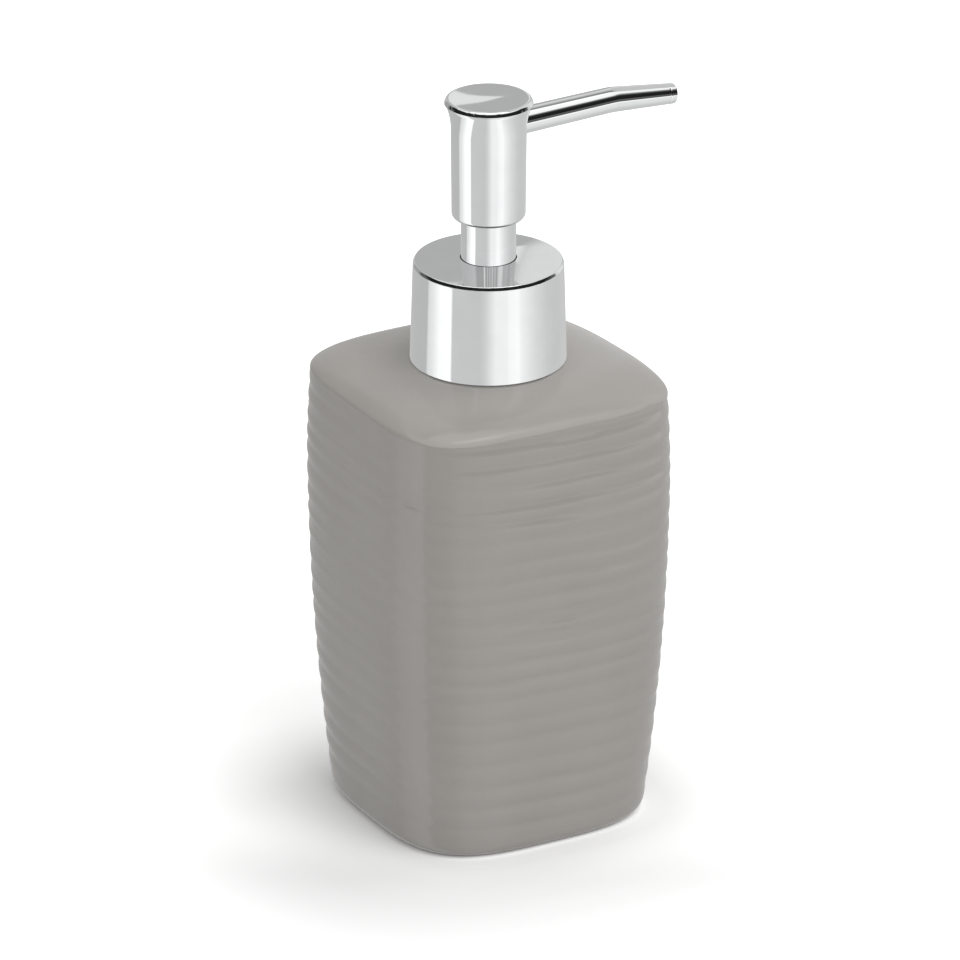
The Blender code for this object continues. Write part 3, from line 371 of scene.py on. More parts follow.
def chrome():
    """Mirror plating with a faint ripple and finer and duller patches."""
    made, n = material("chrome")
    bright = (0.835, 0.842, 0.845)
    dull = tuple(value * 0.97 for value in bright)
    place = n.place()
    patch = n.noise(place, scale=160, detail=3, roughness=0.6)
    tint = n.ramp(patch, ((0.35, dull), (0.65, bright)))
    rough = n.vary(patch, low=0.025, high=0.05)
    ripples = n.bump(n.noise(place, scale=210), strength=0.1, distance=0.02 * MM)
    n.surface({"Base Color": tint, "Metallic": 1.0, "Roughness": rough, "Normal": ripples})
    return made


def moulded(name, base, roughness, grain=900):
    """Moulded plastic or rubber: a faint flow pattern and a fine grain."""
    made, n = material(name)
    place = n.place()
    flow = n.noise(n.place((1, 1, 0.4)), scale=120, detail=3, distortion=0.6)
    tint = n.shade(flow, dark=tuple(value * 0.93 for value in base), light=base)
    rough = n.vary(flow, low=roughness * 0.9, high=roughness * 1.12)
    fine = n.bump(n.noise(place, grain, detail=3), strength=0.2, distance=0.02 * MM)
    n.surface({"Base Color": tint, "Roughness": rough, "Normal": fine})
    return made


def milky():
    """Milky polyethylene tube, with faint drawn lines along it."""
    made, n = material("clear_tube")
    lines = n.noise(n.place((1, 1, 0.03)), scale=900)
    tint = n.shade(lines, dark=(0.72, 0.76, 0.77), light=(0.80, 0.83, 0.84))
    rough = n.vary(lines, low=0.28, high=0.4)
    drawn = n.bump(lines, strength=0.15, distance=0.02 * MM)
    n.surface({"Base Color": tint, "Roughness": rough, "Normal": drawn, "Transmission Weight": 0.45,
               "IOR": 1.5})
    return made


def steel():
    """Drawn stainless steel: fine marks along the wire and duller patches."""
    made, n = material("steel")
    marks = n.noise(n.place((1, 1, 6)), scale=600, detail=3, roughness=0.6)
    tint = n.shade(marks, dark=(0.52, 0.52, 0.53), light=(0.66, 0.66, 0.67))
    rough = n.vary(marks, low=0.2, high=0.34)
    drawn = n.bump(marks, strength=0.2, distance=0.01 * MM)
    n.surface({"Base Color": tint, "Metallic": 1.0, "Roughness": rough, "Normal": drawn})
    return made


def finish_of(piece, made):
    """Give a piece one material in place of what it had, and shade it smooth between its sharp edges."""
    mesh = piece.data
    mesh.materials.clear()
    mesh.materials.append(made)
    mesh.shade_smooth()
    mesh.set_sharp_from_angle(angle=SHARP_ANGLE)


def grid_mesh(name, rings, closed=True):
    """Join rings of equal count, in order, and the last to the first where the surface closes on itself."""
    rows, columns = len(rings), len(rings[0])
    points = np.asarray(rings, float).reshape(-1, 3)
    faces = []
    for row in range(rows if closed else rows - 1):
        below, above = row * columns, (row + 1) % rows * columns
        for column in range(columns):
            following = (column + 1) % columns
            faces.append((below + column, below + following, above + following, above + column))
    mesh = bpy.data.meshes.new(name)
    mesh.from_pydata(points.tolist(), [], faces)
    return mesh


def close_ends(mesh, count):
    """Fill the first and the last ring, which have this many points."""
    shape = bmesh.new()
    shape.from_mesh(mesh)
    shape.verts.ensure_lookup_table()
    shape.faces.new(shape.verts[:count])
    shape.faces.new(shape.verts[-count:])
    shape.to_mesh(mesh)
    shape.free()


def add_object(name, data):
    item = bpy.data.objects.new(name, data)
    bpy.context.scene.collection.objects.link(item)
    return item


def add_piece(name, mesh, node, made):
    """Place a piece in the scene on the body of the node that it stands for."""
    piece = add_object(name, mesh)
    shape = bmesh.new()
    shape.from_mesh(mesh)
    bmesh.ops.recalc_face_normals(shape, faces=shape.faces)
    shape.to_mesh(mesh)
    shape.free()
    finish_of(piece, made)
    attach(piece, BODIES[node])
    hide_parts(node)
    return piece


def barrel_half_width(height):
    """Half of the bottle's width from face to face, below its shoulder."""
    if height < BELLY_HEIGHT:
        share = (BELLY_HEIGHT - height) / BELLY_HEIGHT
        return BELLY_HALF_WIDTH - (BELLY_HALF_WIDTH - BASE_HALF_WIDTH) * share ** FLANK_CURVE
    share = (height - BELLY_HEIGHT) / (SHOULDER_HEIGHT - BELLY_HEIGHT)
    return BELLY_HALF_WIDTH - (BELLY_HALF_WIDTH - SHOULDER_HALF_WIDTH) * share ** 2


def barrel_squareness(height):
    share = min(1, height / SHOULDER_HEIGHT)
    return BASE_SQUARENESS + (SHOULDER_SQUARENESS - BASE_SQUARENESS) * share


def dome(share):
    """Half width, height and squareness of the dome, from the shoulder (0) to the flat land (1)."""
    crown_rise = DOME_RISE + LAND_DIP
    land_angle = asin((DOME_RISE / crown_rise) ** (DOME_LIFT / 2))
    angle = share * land_angle
    half_width = SHOULDER_HALF_WIDTH * cos(angle) ** (2 / DOME_SPREAD)
    height = SHOULDER_HEIGHT + crown_rise * sin(angle) ** (2 / DOME_LIFT)
    inwards = 1 - half_width / SHOULDER_HALF_WIDTH
    return half_width, height, SHOULDER_SQUARENESS * (1 - inwards) + CROWN_SQUARENESS * inwards


def column_angles(count, squareness):
    """Angles that space the columns evenly round a squarish section."""
    fine = np.linspace(0, 2 * pi, 20000)
    reach = (np.abs(np.cos(fine)) ** squareness + np.abs(np.sin(fine)) ** squareness) ** (-1 / squareness)
    steps = np.hypot(np.diff(reach * np.cos(fine)), np.diff(reach * np.sin(fine)))
    travelled = np.concatenate([[0], np.cumsum(steps)])
    return np.interp(np.arange(count) / count * travelled[-1], travelled, fine)


def section(angles, half_width, height, squareness):
    """One ring of the bottle: a superellipse around the vertical axis."""
    cosines, sines = np.cos(angles), np.sin(angles)
    reach = half_width * (np.abs(cosines) ** squareness + np.abs(sines) ** squareness) ** (-1 / squareness)
    return np.stack([reach * cosines, reach * sines, np.full_like(reach, height)], axis=1)


def wander(angle, height, scale, rise, seed):
    """Smooth noise round the bottle, from -1 to 1, that closes on itself."""
    return noise.noise(Vector((cos(angle) * scale, sin(angle) * scale, height / rise + seed)))


def hump(value, middle, reach):
    """From 0 far off to 1 in the middle."""
    return exp(-((value - middle) / reach) ** 2)


def slope(value, start, end):
    """From 0 before the start to 1 after the end."""
    return min(1, max(0, (value - start) / (end - start)))


def groove_turn(level):
    """A height counted in grooves: 0 in the lowest, 1 in the next, and on past the last."""
    if level < GROOVES[0]:
        return (level - GROOVES[0]) / (GROOVES[1] - GROOVES[0])
    turn = np.interp(level, GROOVES, range(len(GROOVES)))
    if level > GROOVES[-1]:
        turn += (level - GROOVES[-1]) / (TOP_RIPPLE_SQUEEZE * (GROOVES[-1] - GROOVES[-2]))
    return turn


def notch(turn):
    """How deep a groove is at this place between two lobes, from 0 on a crest to 1 in the groove."""
    hollow = 0.5 + 0.5 * cos(2 * pi * turn)
    return LINE_SHARE * hump(turn, round(turn), LINE_REACH) + (1 - LINE_SHARE) * hollow


def ripple_share(angle, height):
    """Share of their full depth that the ripples have at this place."""
    bearing = degrees(angle) % 360
    left = hump(bearing, *LEFT_FACE)
    high = slope(height, *UPPER_PART)
    share = np.interp(bearing, RIPPLE_BEARINGS, RIPPLE_SHARES)
    share *= 1 + high * (UPPER_LEFT_GAIN * left - UPPER_RIGHT_LOSS * hump(bearing, *RIGHT_FACE))
    share *= 1 - UPPER_CORNER_LOSS * high * hump(bearing, *BESIDE_CORNER)
    share *= 1 - TOP_LEFT_LOSS * slope(height, *TOP_EDGE) * hump(bearing, *TOP_LEFT)
    share *= 1 - MIDDLE_LEFT_LOSS * left * hump(height, *MIDDLE_PART)
    share *= 1 + DEPTH_UNEVENNESS * wander(angle, height, *DEPTH_WANDER)
    corner = hump(bearing, *FRONT_CORNER)
    uneven = wander(angle, height, *CORNER_WANDER)
    share *= 1 + CORNER_UNEVENNESS * corner * uneven
    share += CORNER_MARKS * corner * max(0, uneven)
    return max(LEAST_RIPPLE_SHARE, share)


def ripple(angle, height):
    """How deep the glaze lies in a groove at this place, as a share of the ripples' full depth."""
    rise = np.interp(degrees(angle) % 360, RIPPLE_BEARINGS, RIPPLE_RISES)
    turn = groove_turn(height - rise - GROOVE_SWAY * wander(angle, height, *GROOVE_WANDER))
    if not -0.5 < turn < len(GROOVES) - 0.5:
        return 0.0
    fork = max(0.0, wander(angle, height, *FORK_WANDER) - FORK_START)
    return ripple_share(angle, height) * ((1 - fork) * notch(turn) + fork * notch(2 * turn + 0.5))


def corner_tuck(angle):
    """How far the hand-made bottle's top lies inside its even shape: in at the back corner, out beside it."""
    bearing = (degrees(angle) + 180) % 360 - 180
    return CORNER_TUCK * hump(bearing, *CORNER_TUCK_PLACE) - CORNER_BULGE * hump(bearing, *CORNER_BULGE_PLACE)


def foot_profile():
    """Half width, height and squareness of the rings under the foot and up its round edge."""
    for share in FOOT_SHARES:
        squareness = MOUTH_SQUARENESS + (BASE_SQUARENESS - MOUTH_SQUARENESS) * share
        yield (BASE_HALF_WIDTH - FOOT_FILLET) * share, 0, squareness
    for step in range(FOOT_RINGS + 1):
        angle = pi / 2 * step / FOOT_RINGS
        height = FOOT_FILLET * (1 - cos(angle))
        yield barrel_half_width(height) - FOOT_FILLET * (1 - sin(angle)), height, BASE_SQUARENESS


def cavity_profile():
    """Half width, height and squareness of the rings from the mouth down the cavity to its floor."""
    yield MOUTH_RADIUS + MOUTH_FILLET, BOTTLE_HEIGHT, MOUTH_SQUARENESS
    yield MOUTH_RADIUS, BOTTLE_HEIGHT - MOUTH_FILLET, MOUTH_SQUARENESS
    yield MOUTH_RADIUS, BOTTLE_HEIGHT - BOTTLE_TOP_WALL, MOUTH_SQUARENESS
    for step in range(CAVITY_DOME_RINGS):
        half_width, height, squareness = dome(1 - step / CAVITY_DOME_RINGS)
        yield half_width - BOTTLE_WALL, height - BOTTLE_TOP_WALL, squareness
    top = SHOULDER_HEIGHT - BOTTLE_TOP_WALL
    foot = BOTTLE_FLOOR + CAVITY_FILLET
    for step in range(CAVITY_WALL_RINGS + 1):
        height = top + (foot - top) * step / CAVITY_WALL_RINGS
        yield barrel_half_width(height) - BOTTLE_WALL, height, barrel_squareness(height)
    for step in range(1, CAVITY_FILLET_RINGS + 1):
        angle = pi / 2 * step / CAVITY_FILLET_RINGS
        height = foot - CAVITY_FILLET * sin(angle)
        inset = BOTTLE_WALL + CAVITY_FILLET * (1 - cos(angle))
        yield barrel_half_width(height) - inset, height, BASE_SQUARENESS
    yield (BASE_HALF_WIDTH - FOOT_FILLET) * CENTRE_SHARE, BOTTLE_FLOOR, MOUTH_SQUARENESS


def bottle_rings():
    """Rings up the foot's edge, the rippled barrel and the dome, and down the cavity to its floor."""
    angles = column_angles(BOTTLE_COLUMNS, (BASE_SQUARENESS + SHOULDER_SQUARENESS) / 2)
    tuck = np.array([corner_tuck(angle) for angle in angles])
    rings, grooves = [], []

    def ring(half_width, height, squareness, groove=0.0):
        rings.append(section(angles, half_width, height, squareness))
        grooves.append(np.broadcast_to(groove, angles.shape))

    for sizes in foot_profile():
        ring(*sizes)
    for step in range(1, BARREL_RINGS):
        height = FOOT_FILLET + (SHOULDER_HEIGHT - FOOT_FILLET) * step / BARREL_RINGS
        groove = np.array([ripple(angle, height) for angle in angles])
        fade = slope(height, CORNER_TUCK_FOOT, SHOULDER_HEIGHT)
        inset = RIPPLE_DEPTH * groove + tuck * fade ** 2 * (3 - 2 * fade)
        ring(barrel_half_width(height) - inset, height, barrel_squareness(height), groove)
    for step in range(DOME_RINGS + 1):
        half_width, height, squareness = dome(step / DOME_RINGS)
        ring(half_width - tuck * cos(pi / 2 * step / DOME_RINGS), height, squareness)
    for sizes in cavity_profile():
        ring(*sizes)
    return rings, np.concatenate(grooves)


def make_bottle():
    """Rippled bottle, closed at its foot and open at its mouth. The chrome doesn't mirror it."""
    rings, groove = bottle_rings()
    mesh = grid_mesh("glazed_bottle", rings, closed=False)
    close_ends(mesh, BOTTLE_COLUMNS)
    attribute = mesh.attributes.new("groove", "FLOAT", "POINT")
    attribute.data.foreach_set("value", groove.astype(np.float32))
    piece = add_piece("glazed_bottle", mesh, "bottle", glaze())
    piece.visible_glossy = False


def rounded(corners):
    """A closed outline's points, with an arc at each corner (radius, height, fillet) that has a fillet."""
    points = []
    for index, (x, z, fillet) in enumerate(corners):
        here = Vector((x, z))
        if fillet == 0:
            points.append(here)
            continue
        before = (Vector(corners[index - 1][:2]) - here).normalized()
        after = (Vector(corners[(index + 1) % len(corners)][:2]) - here).normalized()
        half = before.angle(after) / 2
        centre = here + (before + after).normalized() * (fillet / sin(half))
        start = here + before * (fillet / tan(half)) - centre
        end = here + after * (fillet / tan(half)) - centre
        for step in range(FILLET_STEPS + 1):
            spoke = start.slerp(end, step / FILLET_STEPS)
            points.append(centre + spoke.normalized() * fillet)
    return points


def dense(points, closed=True):
    """Split an outline's long stretches, so that its shading stays true beside a fillet."""
    filled = []
    last = len(points) if closed else len(points) - 1
    for index in range(last):
        here, after = points[index], points[(index + 1) % len(points)]
        count = max(1, ceil((after - here).length / FINE_STEP))
        filled += [here.lerp(after, step / count) for step in range(count)]
    if not closed:
        filled.append(points[-1])
    return filled


def nicked(radius, height, seed, depth):
    """Tiny dents of a plated edge near this radius and height, as a radial offset for turned()."""
    def offset(angles, ring_radius, ring_height):
        near = exp(-((ring_radius - radius) ** 2 + (ring_height - height) ** 2) / NICK_REACH ** 2)
        if near < NICK_LEAST:
            return 0.0
        dents = [wander(angle, ring_height, radius / NICK_PITCH, NICK_PITCH, seed) for angle in angles]
        return -depth * near * np.clip(np.array(dents) - NICK_START, 0, 1)
    return offset


def turned(name, outline, closed=True, wobble=None):
    """Turn an outline about the vertical axis."""
    angles = np.arange(ROUND_STEPS) * 2 * pi / ROUND_STEPS
    rings = []
    for radius, height in outline:
        reach = np.maximum(radius + (wobble(angles, radius, height) if wobble else 0.0), LEAST_RADIUS)
        rings.append(np.stack([reach * np.cos(angles), reach * np.sin(angles),
                               np.full_like(angles, height)], axis=1))
    mesh = grid_mesh(name, rings, closed)
    if not closed:
        close_ends(mesh, ROUND_STEPS)
    return mesh


def make_collar(made):
    """Chromed cover: a drafted side, a small round rim and a gently domed plate."""
    low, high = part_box("collar_cover")
    foot_radius = high.x
    rim_radius = foot_radius - COLLAR_DRAFT
    rim = high.z - COLLAR_CROWN
    foot = low.z + COLLAR_LIFT
    plate_edge = rim_radius - COLLAR_RIM_SLOPE
    corners = []
    for step in range(CURVE_STEPS):
        radius = COLLAR_HOLE_RADIUS + (plate_edge - COLLAR_HOLE_RADIUS) * step / CURVE_STEPS
        corners.append((radius, rim + COLLAR_CROWN * (1 - (radius / plate_edge) ** 2), 0))
    corners += [
        (plate_edge, rim, COLLAR_RIM_FILLET),
        (rim_radius, rim - COLLAR_RIM_DROP, COLLAR_EDGE_FILLET),
        (foot_radius, foot, COLLAR_FOOT_FILLET),
        (foot_radius - COLLAR_WALL, foot, COLLAR_FOOT_FILLET),
        (rim_radius - COLLAR_WALL, rim - COLLAR_PLATE, COLLAR_INNER_FILLET),
        (COLLAR_HOLE_RADIUS, rim - COLLAR_PLATE, 0),
    ]
    nicks = nicked(rim_radius - COLLAR_RIM_SLOPE / 2, rim - COLLAR_RIM_DROP / 2, COLLAR_NICK_SEED,
                   COLLAR_NICK_DEPTH)
    mesh = turned("chromed_collar", dense(rounded(corners)), wobble=nicks)
    add_piece("chromed_collar", mesh, "collar_cover", made)


def make_sleeve(made):
    """Chromed sleeve that slides through the collar."""
    low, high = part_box("stem_sleeve")
    lip_radius = high.x
    bore = SLEEVE_RADIUS - SLEEVE_WALL
    outline = rounded([
        (lip_radius, high.z, SMALL_FILLET),
        (lip_radius, high.z - SLEEVE_LIP, SMALL_FILLET),
        (SLEEVE_RADIUS, high.z - SLEEVE_LIP, 0),
        (SLEEVE_RADIUS, low.z, SEAT_GAP),
        (bore, low.z, SMALL_FILLET),
        (bore, high.z, SMALL_FILLET),
    ])
    mesh = turned("chromed_sleeve", dense(outline))
    add_piece("chromed_sleeve", mesh, "stem_sleeve", made)


def make_head_shell(made):
    """Chromed shell of the head, flaring out under its cap, with the hole that the spout leaves through."""
    low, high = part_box("head_shell")
    flare_foot = high.z - HEAD_FLARE_HEIGHT
    neck = HEAD_RADIUS + HEAD_DRAFT
    hole = SLEEVE_RADIUS + SEAT_GAP
    bore = HEAD_RADIUS - HEAD_WALL
    ledge = low.z + HEAD_LEDGE_THICKNESS
    top = high.z + SEAT_GAP - CAP_SEAM
    corners = [(neck + HEAD_FLARE, top, 0)]
    for step in range(CURVE_STEPS + 1):
        share = 1 - step / CURVE_STEPS
        radius = neck + HEAD_FLARE * share ** HEAD_FLARE_CURVE
        corners.append((radius, flare_foot + HEAD_FLARE_HEIGHT * share, 0))
    corners += [
        (HEAD_RADIUS, low.z, HEAD_FOOT_FILLET),
        (hole, low.z, SMALL_FILLET),
        (hole, ledge, 0),
        (bore, ledge, 0),
        (bore, top, 0),
    ]
    mesh = turned("chromed_head", dense(rounded(corners)))
    piece = add_piece("chromed_head", mesh, "head_shell", made)
    cut_spout_hole(piece)
    finish_of(piece, made)


def cut_spout_hole(piece):
    shape = bmesh.new()
    radius = SPOUT_ROOT_RADIUS + SEAT_GAP
    length = HEAD_RADIUS + SPOUT_HOLE_OVERRUN
    bmesh.ops.create_cone(shape, cap_ends=True, segments=SPOUT_HOLE_SIDES, radius1=radius, radius2=radius,
                          depth=length, matrix=spout_root() @ Matrix.Translation((0, 0, length / 2)))
    cutter_mesh = bpy.data.meshes.new("spout_hole")
    shape.to_mesh(cutter_mesh)
    shape.free()
    cutter = add_object("spout_hole", cutter_mesh)
    cut = piece.modifiers.new("spout_hole", "BOOLEAN")
    cut.operation = "DIFFERENCE"
    cut.solver = "EXACT"
    cut.object = cutter
    bpy.context.view_layer.update()
    result = bpy.data.meshes.new_from_object(piece.evaluated_get(bpy.context.evaluated_depsgraph_get()))
    piece.modifiers.clear()
    piece.data = result
    bpy.data.objects.remove(cutter, do_unlink=True)


def make_cap(made):
    """Chromed disc that a finger presses: a faintly dished top between rounded edges."""
    low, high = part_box("head_cap")
    radius = high.x
    edge = rounded([
        (0, high.z, 0),
        (radius - CAP_TAPER, high.z, CAP_TOP_FILLET),
        (radius, low.z + CAP_SKIRT, CAP_FOOT_FILLET),
        (radius, low.z, CAP_FOOT_FILLET),
        (0, low.z, 0),
    ])[1:]
    flat_edge = edge[0].x
    outline = []
    for step in range(CURVE_STEPS):
        share = step / CURVE_STEPS
        outline.append(Vector((flat_edge * share, high.z - CAP_DISH * (1 - share ** 2))))
    outline += edge
    nicks = nicked(radius - CAP_TAPER / 2, (high.z + low.z) / 2, CAP_NICK_SEED, CAP_NICK_DEPTH)
    mesh = turned("chromed_cap", dense(outline, closed=False), closed=False, wobble=nicks)
    add_piece("chromed_cap", mesh, "head_cap", made)


def spout_point(reach):
    """A point of the spout's centre line, which rises to the bend and falls after it."""
    root_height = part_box("head_shell")[1].z - SPOUT_COVER - SPOUT_ROOT_RADIUS
    height = root_height + (min(reach, SPOUT_BEND_REACH) - HEAD_RADIUS) * SPOUT_RISE
    from_bend = (reach - SPOUT_BEND_REACH) / SPOUT_BEND_HALF_LENGTH
    if abs(from_bend) < 1:
        drop = (SPOUT_RISE + SPOUT_FALL) * SPOUT_BEND_HALF_LENGTH * (1 + from_bend) ** 2 / 4
        height = root_height + (reach - HEAD_RADIUS) * SPOUT_RISE - drop
    elif from_bend > 0:
        height -= (reach - SPOUT_BEND_REACH) * SPOUT_FALL
    return Vector((reach, 0, height))


def spout_root():
    """The spout's root and its direction there."""
    return Matrix.Translation(spout_point(SPOUT_ROOT_REACH)) @ Matrix.Rotation(pi / 2 - SPOUT_SLOPE, 4, "Y")


def spout_radius(reach):
    """Outer radius of the spout, which tapers to the bend and on to the tip, with a fine groove near it."""
    if reach < SPOUT_BEND_REACH:
        share = max(0, reach - HEAD_RADIUS) / (SPOUT_BEND_REACH - HEAD_RADIUS)
        return SPOUT_ROOT_RADIUS + (SPOUT_BEND_RADIUS - SPOUT_ROOT_RADIUS) * share
    share = (reach - SPOUT_BEND_REACH) / (SPOUT_REACH - SPOUT_BEND_REACH)
    groove = SPOUT_GROOVE_DEPTH * hump(reach, SPOUT_REACH - SPOUT_GROOVE_REACH, SPOUT_GROOVE_WIDTH)
    return SPOUT_BEND_RADIUS + (SPOUT_TIP_RADIUS - SPOUT_BEND_RADIUS) * share - groove


def spout_ring(reach, radius):
    """A ring across the spout's centre line at this reach."""
    ahead = (spout_point(reach + TANGENT_STEP) - spout_point(reach - TANGENT_STEP)).normalized()
    across = Vector((0, 1, 0))
    upright = across.cross(ahead).normalized()
    centre = spout_point(reach)
    ring = []
    for step in range(SPOUT_SIDES):
        angle = 2 * pi * step / SPOUT_SIDES
        ring.append(tuple(centre + (across * cos(angle) - upright * sin(angle)) * radius))
    return ring


def spout_reaches():
    """Where the spout's rings lie, closer together round its bend and in its groove."""
    groove = SPOUT_REACH - SPOUT_GROOVE_REACH
    stops = (
        SPOUT_ROOT_REACH,
        SPOUT_BEND_REACH - SPOUT_BEND_HALF_LENGTH,
        SPOUT_BEND_REACH + SPOUT_BEND_HALF_LENGTH,
        groove - 3 * SPOUT_GROOVE_WIDTH,
        groove + 3 * SPOUT_GROOVE_WIDTH,
        SPOUT_REACH - SPOUT_LIP,
    )
    reaches = [SPOUT_ROOT_REACH]
    for start, end, count in zip(stops, stops[1:], SPOUT_RING_COUNTS):
        reaches += list(np.linspace(start, end, count))[1:]
    return reaches


def make_spout(made):
    """Chromed spout: a tapered tube with a bend, a bore and a square tip."""
    reaches = spout_reaches()
    rings = [spout_ring(reach, spout_radius(reach)) for reach in reaches]
    for step in range(1, SPOUT_LIP_RINGS + 1):
        angle = pi / 2 * step / SPOUT_LIP_RINGS
        rings.append(spout_ring(SPOUT_REACH - SPOUT_LIP + SPOUT_LIP * sin(angle),
                                spout_radius(SPOUT_REACH) - SPOUT_LIP + SPOUT_LIP * cos(angle)))
    for reach in (SPOUT_REACH, *reversed(reaches)):
        rings.append(spout_ring(reach, spout_radius(reach) - SPOUT_WALL))
    mesh = grid_mesh("chromed_spout", rings)
    add_piece("chromed_spout", mesh, "spout_tube", made)


def make_spring(made):
    """Return spring: one unbroken wire, with a closed turn at each end."""
    low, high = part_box("return_spring")
    foot = low.z + WIRE_RADIUS
    top = high.z - WIRE_RADIUS
    coil_radius = high.x - WIRE_RADIUS
    end_pitch = 2 * WIRE_RADIUS + SPRING_END_GAP
    turns = SPRING_ACTIVE_TURNS + 2
    heights = np.interp(np.arange(turns * SPRING_STEPS + 1) / SPRING_STEPS, [0, 1, turns - 1, turns],
                        [foot, foot + end_pitch, top - end_pitch, top])
    rings = []
    for step, height in enumerate(heights):
        angle = 2 * pi * step / SPRING_STEPS
        out = Vector((cos(angle), sin(angle), 0))
        centre = out * coil_radius + Vector((0, 0, height))
        ring = []
        for side in range(WIRE_SIDES):
            turn = 2 * pi * side / WIRE_SIDES
            ring.append(tuple(centre + (out * cos(turn) + Vector((0, 0, 1)) * sin(turn)) * WIRE_RADIUS))
        rings.append(ring)
    mesh = grid_mesh("coiled_spring", rings, closed=False)
    close_ends(mesh, WIRE_SIDES)
    piece = add_piece("coiled_spring", mesh, "return_spring", made)
    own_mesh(piece)


# What mirrors see below the horizon: radiance by bearing, from the camera's side (0) to its right (positive)
TABLE_BANDS = (
    (-180, 0.56), (-104, 0.56), (-100.5, 0.84), (-90, 0.96), (-77, 1.2), (-57, 1.25), (-55.5, 0.68),
    (-12, 0.66), (-4, 0.74), (11, 1.03), (28, 1.05), (31, 1.12), (45, 1.17), (50, 1.06), (58, 0.98),
    (65, 0.91), (76, 0.82), (87, 0.76), (97, 0.70), (115, 0.66), (150, 0.66), (180, 0.56),
)
# A light edge along the table, on the right: its heights, the bearings of its ends, and its radiance
EDGE_HEIGHTS = (-16, -14)
EDGE_START = (40, 48)
EDGE_END = (114, 122)
EDGE_LIGHT = 1.25
HORIZON = (-9, -7.5)

# Radiance by height above the horizon, in degrees, on the camera's side and on the far side
FRONT_HEIGHTS = ((-8, 0.07), (-5, 0.125), (8, 0.125), (11, 0.012), (34, 0.02), (38, 0.1), (44, 0.37),
                 (47, 1.1), (90, 1.3))
FAR_HEIGHTS = ((-8, 0.95), (12, 0.95), (48, 1.0), (54, 0.9), (58, 0.6), (60.5, 0.42), (63.5, 0.42), (65, 1.7),
               (90, 2.0))
# The camera side's right and left ends: the bearings where they come in, and their radiance
RIGHT_END = (110, 126)
RIGHT_END_LIGHT = 0.85
LEFT_END = (112, 130)
LEFT_END_LIGHT = 0.4
# Where the far side starts, and by how much it widens with height
FAR_SIDE = (146, 154)
FAR_SIDE_WIDENS = (42, 52)
FAR_SIDE_GAIN = 30.0
# The far side's cards by bearing from straight away, how far they lean low down, and the card over their left
FAR_BANDS = ((-70, 0.62), (-9, 0.60), (-7.5, 0.51), (1.7, 0.51), (2.9, 0.83), (7.5, 0.83), (9, 0.66),
             (70, 0.66))
LEAN_HEIGHTS = (13, 19)
LEAN = -0.8
UPPER_CARD_FOOT = (31, 33)
UPPER_CARD_EDGE = (-1, 1)
UPPER_CARD_LIGHT = 0.76
# The light wedge between them: its edges' heights by bearing, their softness, its ends and its radiance
WEDGE_TOP = ((-4, 21.8), (-0.7, 21.8), (0.45, 22.0), (1.17, 22.4), (1.79, 23.4), (2.3, 24.6), (4, 28.0))
WEDGE_FOOT = ((-4, 30.0), (-0.65, 21.7), (0.4, 19.6), (1.1, 18.5), (1.87, 17.3), (4, 14.2))
WEDGE_TOP_EDGE = (-0.5, 0.2)
WEDGE_FOOT_EDGE = (-0.2, 0.2)
WEDGE_ENDS = (2.0, 2.6)
WEDGE_LIGHT = 0.90

# What is mirrored a second time: the table, stripes above it by bearing, and a dark ceiling
STRIPE_BANDS = (
    (-180, 0.56), (-60, 0.7), (-52, 0.5), (-21, 0.5), (-19, 0.95), (-15, 0.95), (-13, 0.5), (-8, 0.45),
    (-4, 0.75), (1, 0.42), (6, 0.75), (11, 0.45), (17, 0.8), (22, 0.48), (29, 0.72), (35, 0.45),
    (46, 0.9), (60, 0.9), (67, 0.6), (90, 0.62), (97, 0.5), (110, 0.6), (180, 0.56),
)
SECOND_TABLE_GAIN = 1.19
STRIPES_FOOT = (21, 24)
CEILING_FOOT = (46, 56)
CEILING_LIGHT = 0.16

# The slim bar overhead: its bearing from the camera's side, its radiance, and its soft edges as parts of a
# unit vector: across the bar, along it, and upwards
BAR_BEARING = radians(108)
BAR_LIGHT = 3.0
BAR_SIDES = (0.072, 0.09)
BAR_START = (-0.05, 0.01)
BAR_END = (0.32, 0.47)
BAR_FOOT = (0.1, 0.2)

# The soft light on surfaces, its change with height, and the light that mirrors throw on other surfaces
SKY_LEVEL = 0.76
SKY_HEIGHTS = (-10, 60)
SKY_SHARES = (0.85, 1.1)
THROWN_LIGHT = 1.1


def overhead_bar(n, way):
    """Where the slim bright bar overhead is: from straight up towards one bearing."""
    ahead = CAMERA_FORWARD.normalized()
    right = Vector((ahead.y, -ahead.x))
    run = right * sin(BAR_BEARING) - ahead * cos(BAR_BEARING)
    across = n.maths("ABSOLUTE", n.along(way, (run.y, -run.x, 0)))
    reach = n.along(way, (run.x, run.y, 0))
    width = n.times(n.fall(across, *BAR_SIDES), n.rise(n.upwards(way), *BAR_FOOT))
    return n.times(width, n.times(n.rise(reach, *BAR_START), n.fall(reach, *BAR_END)))


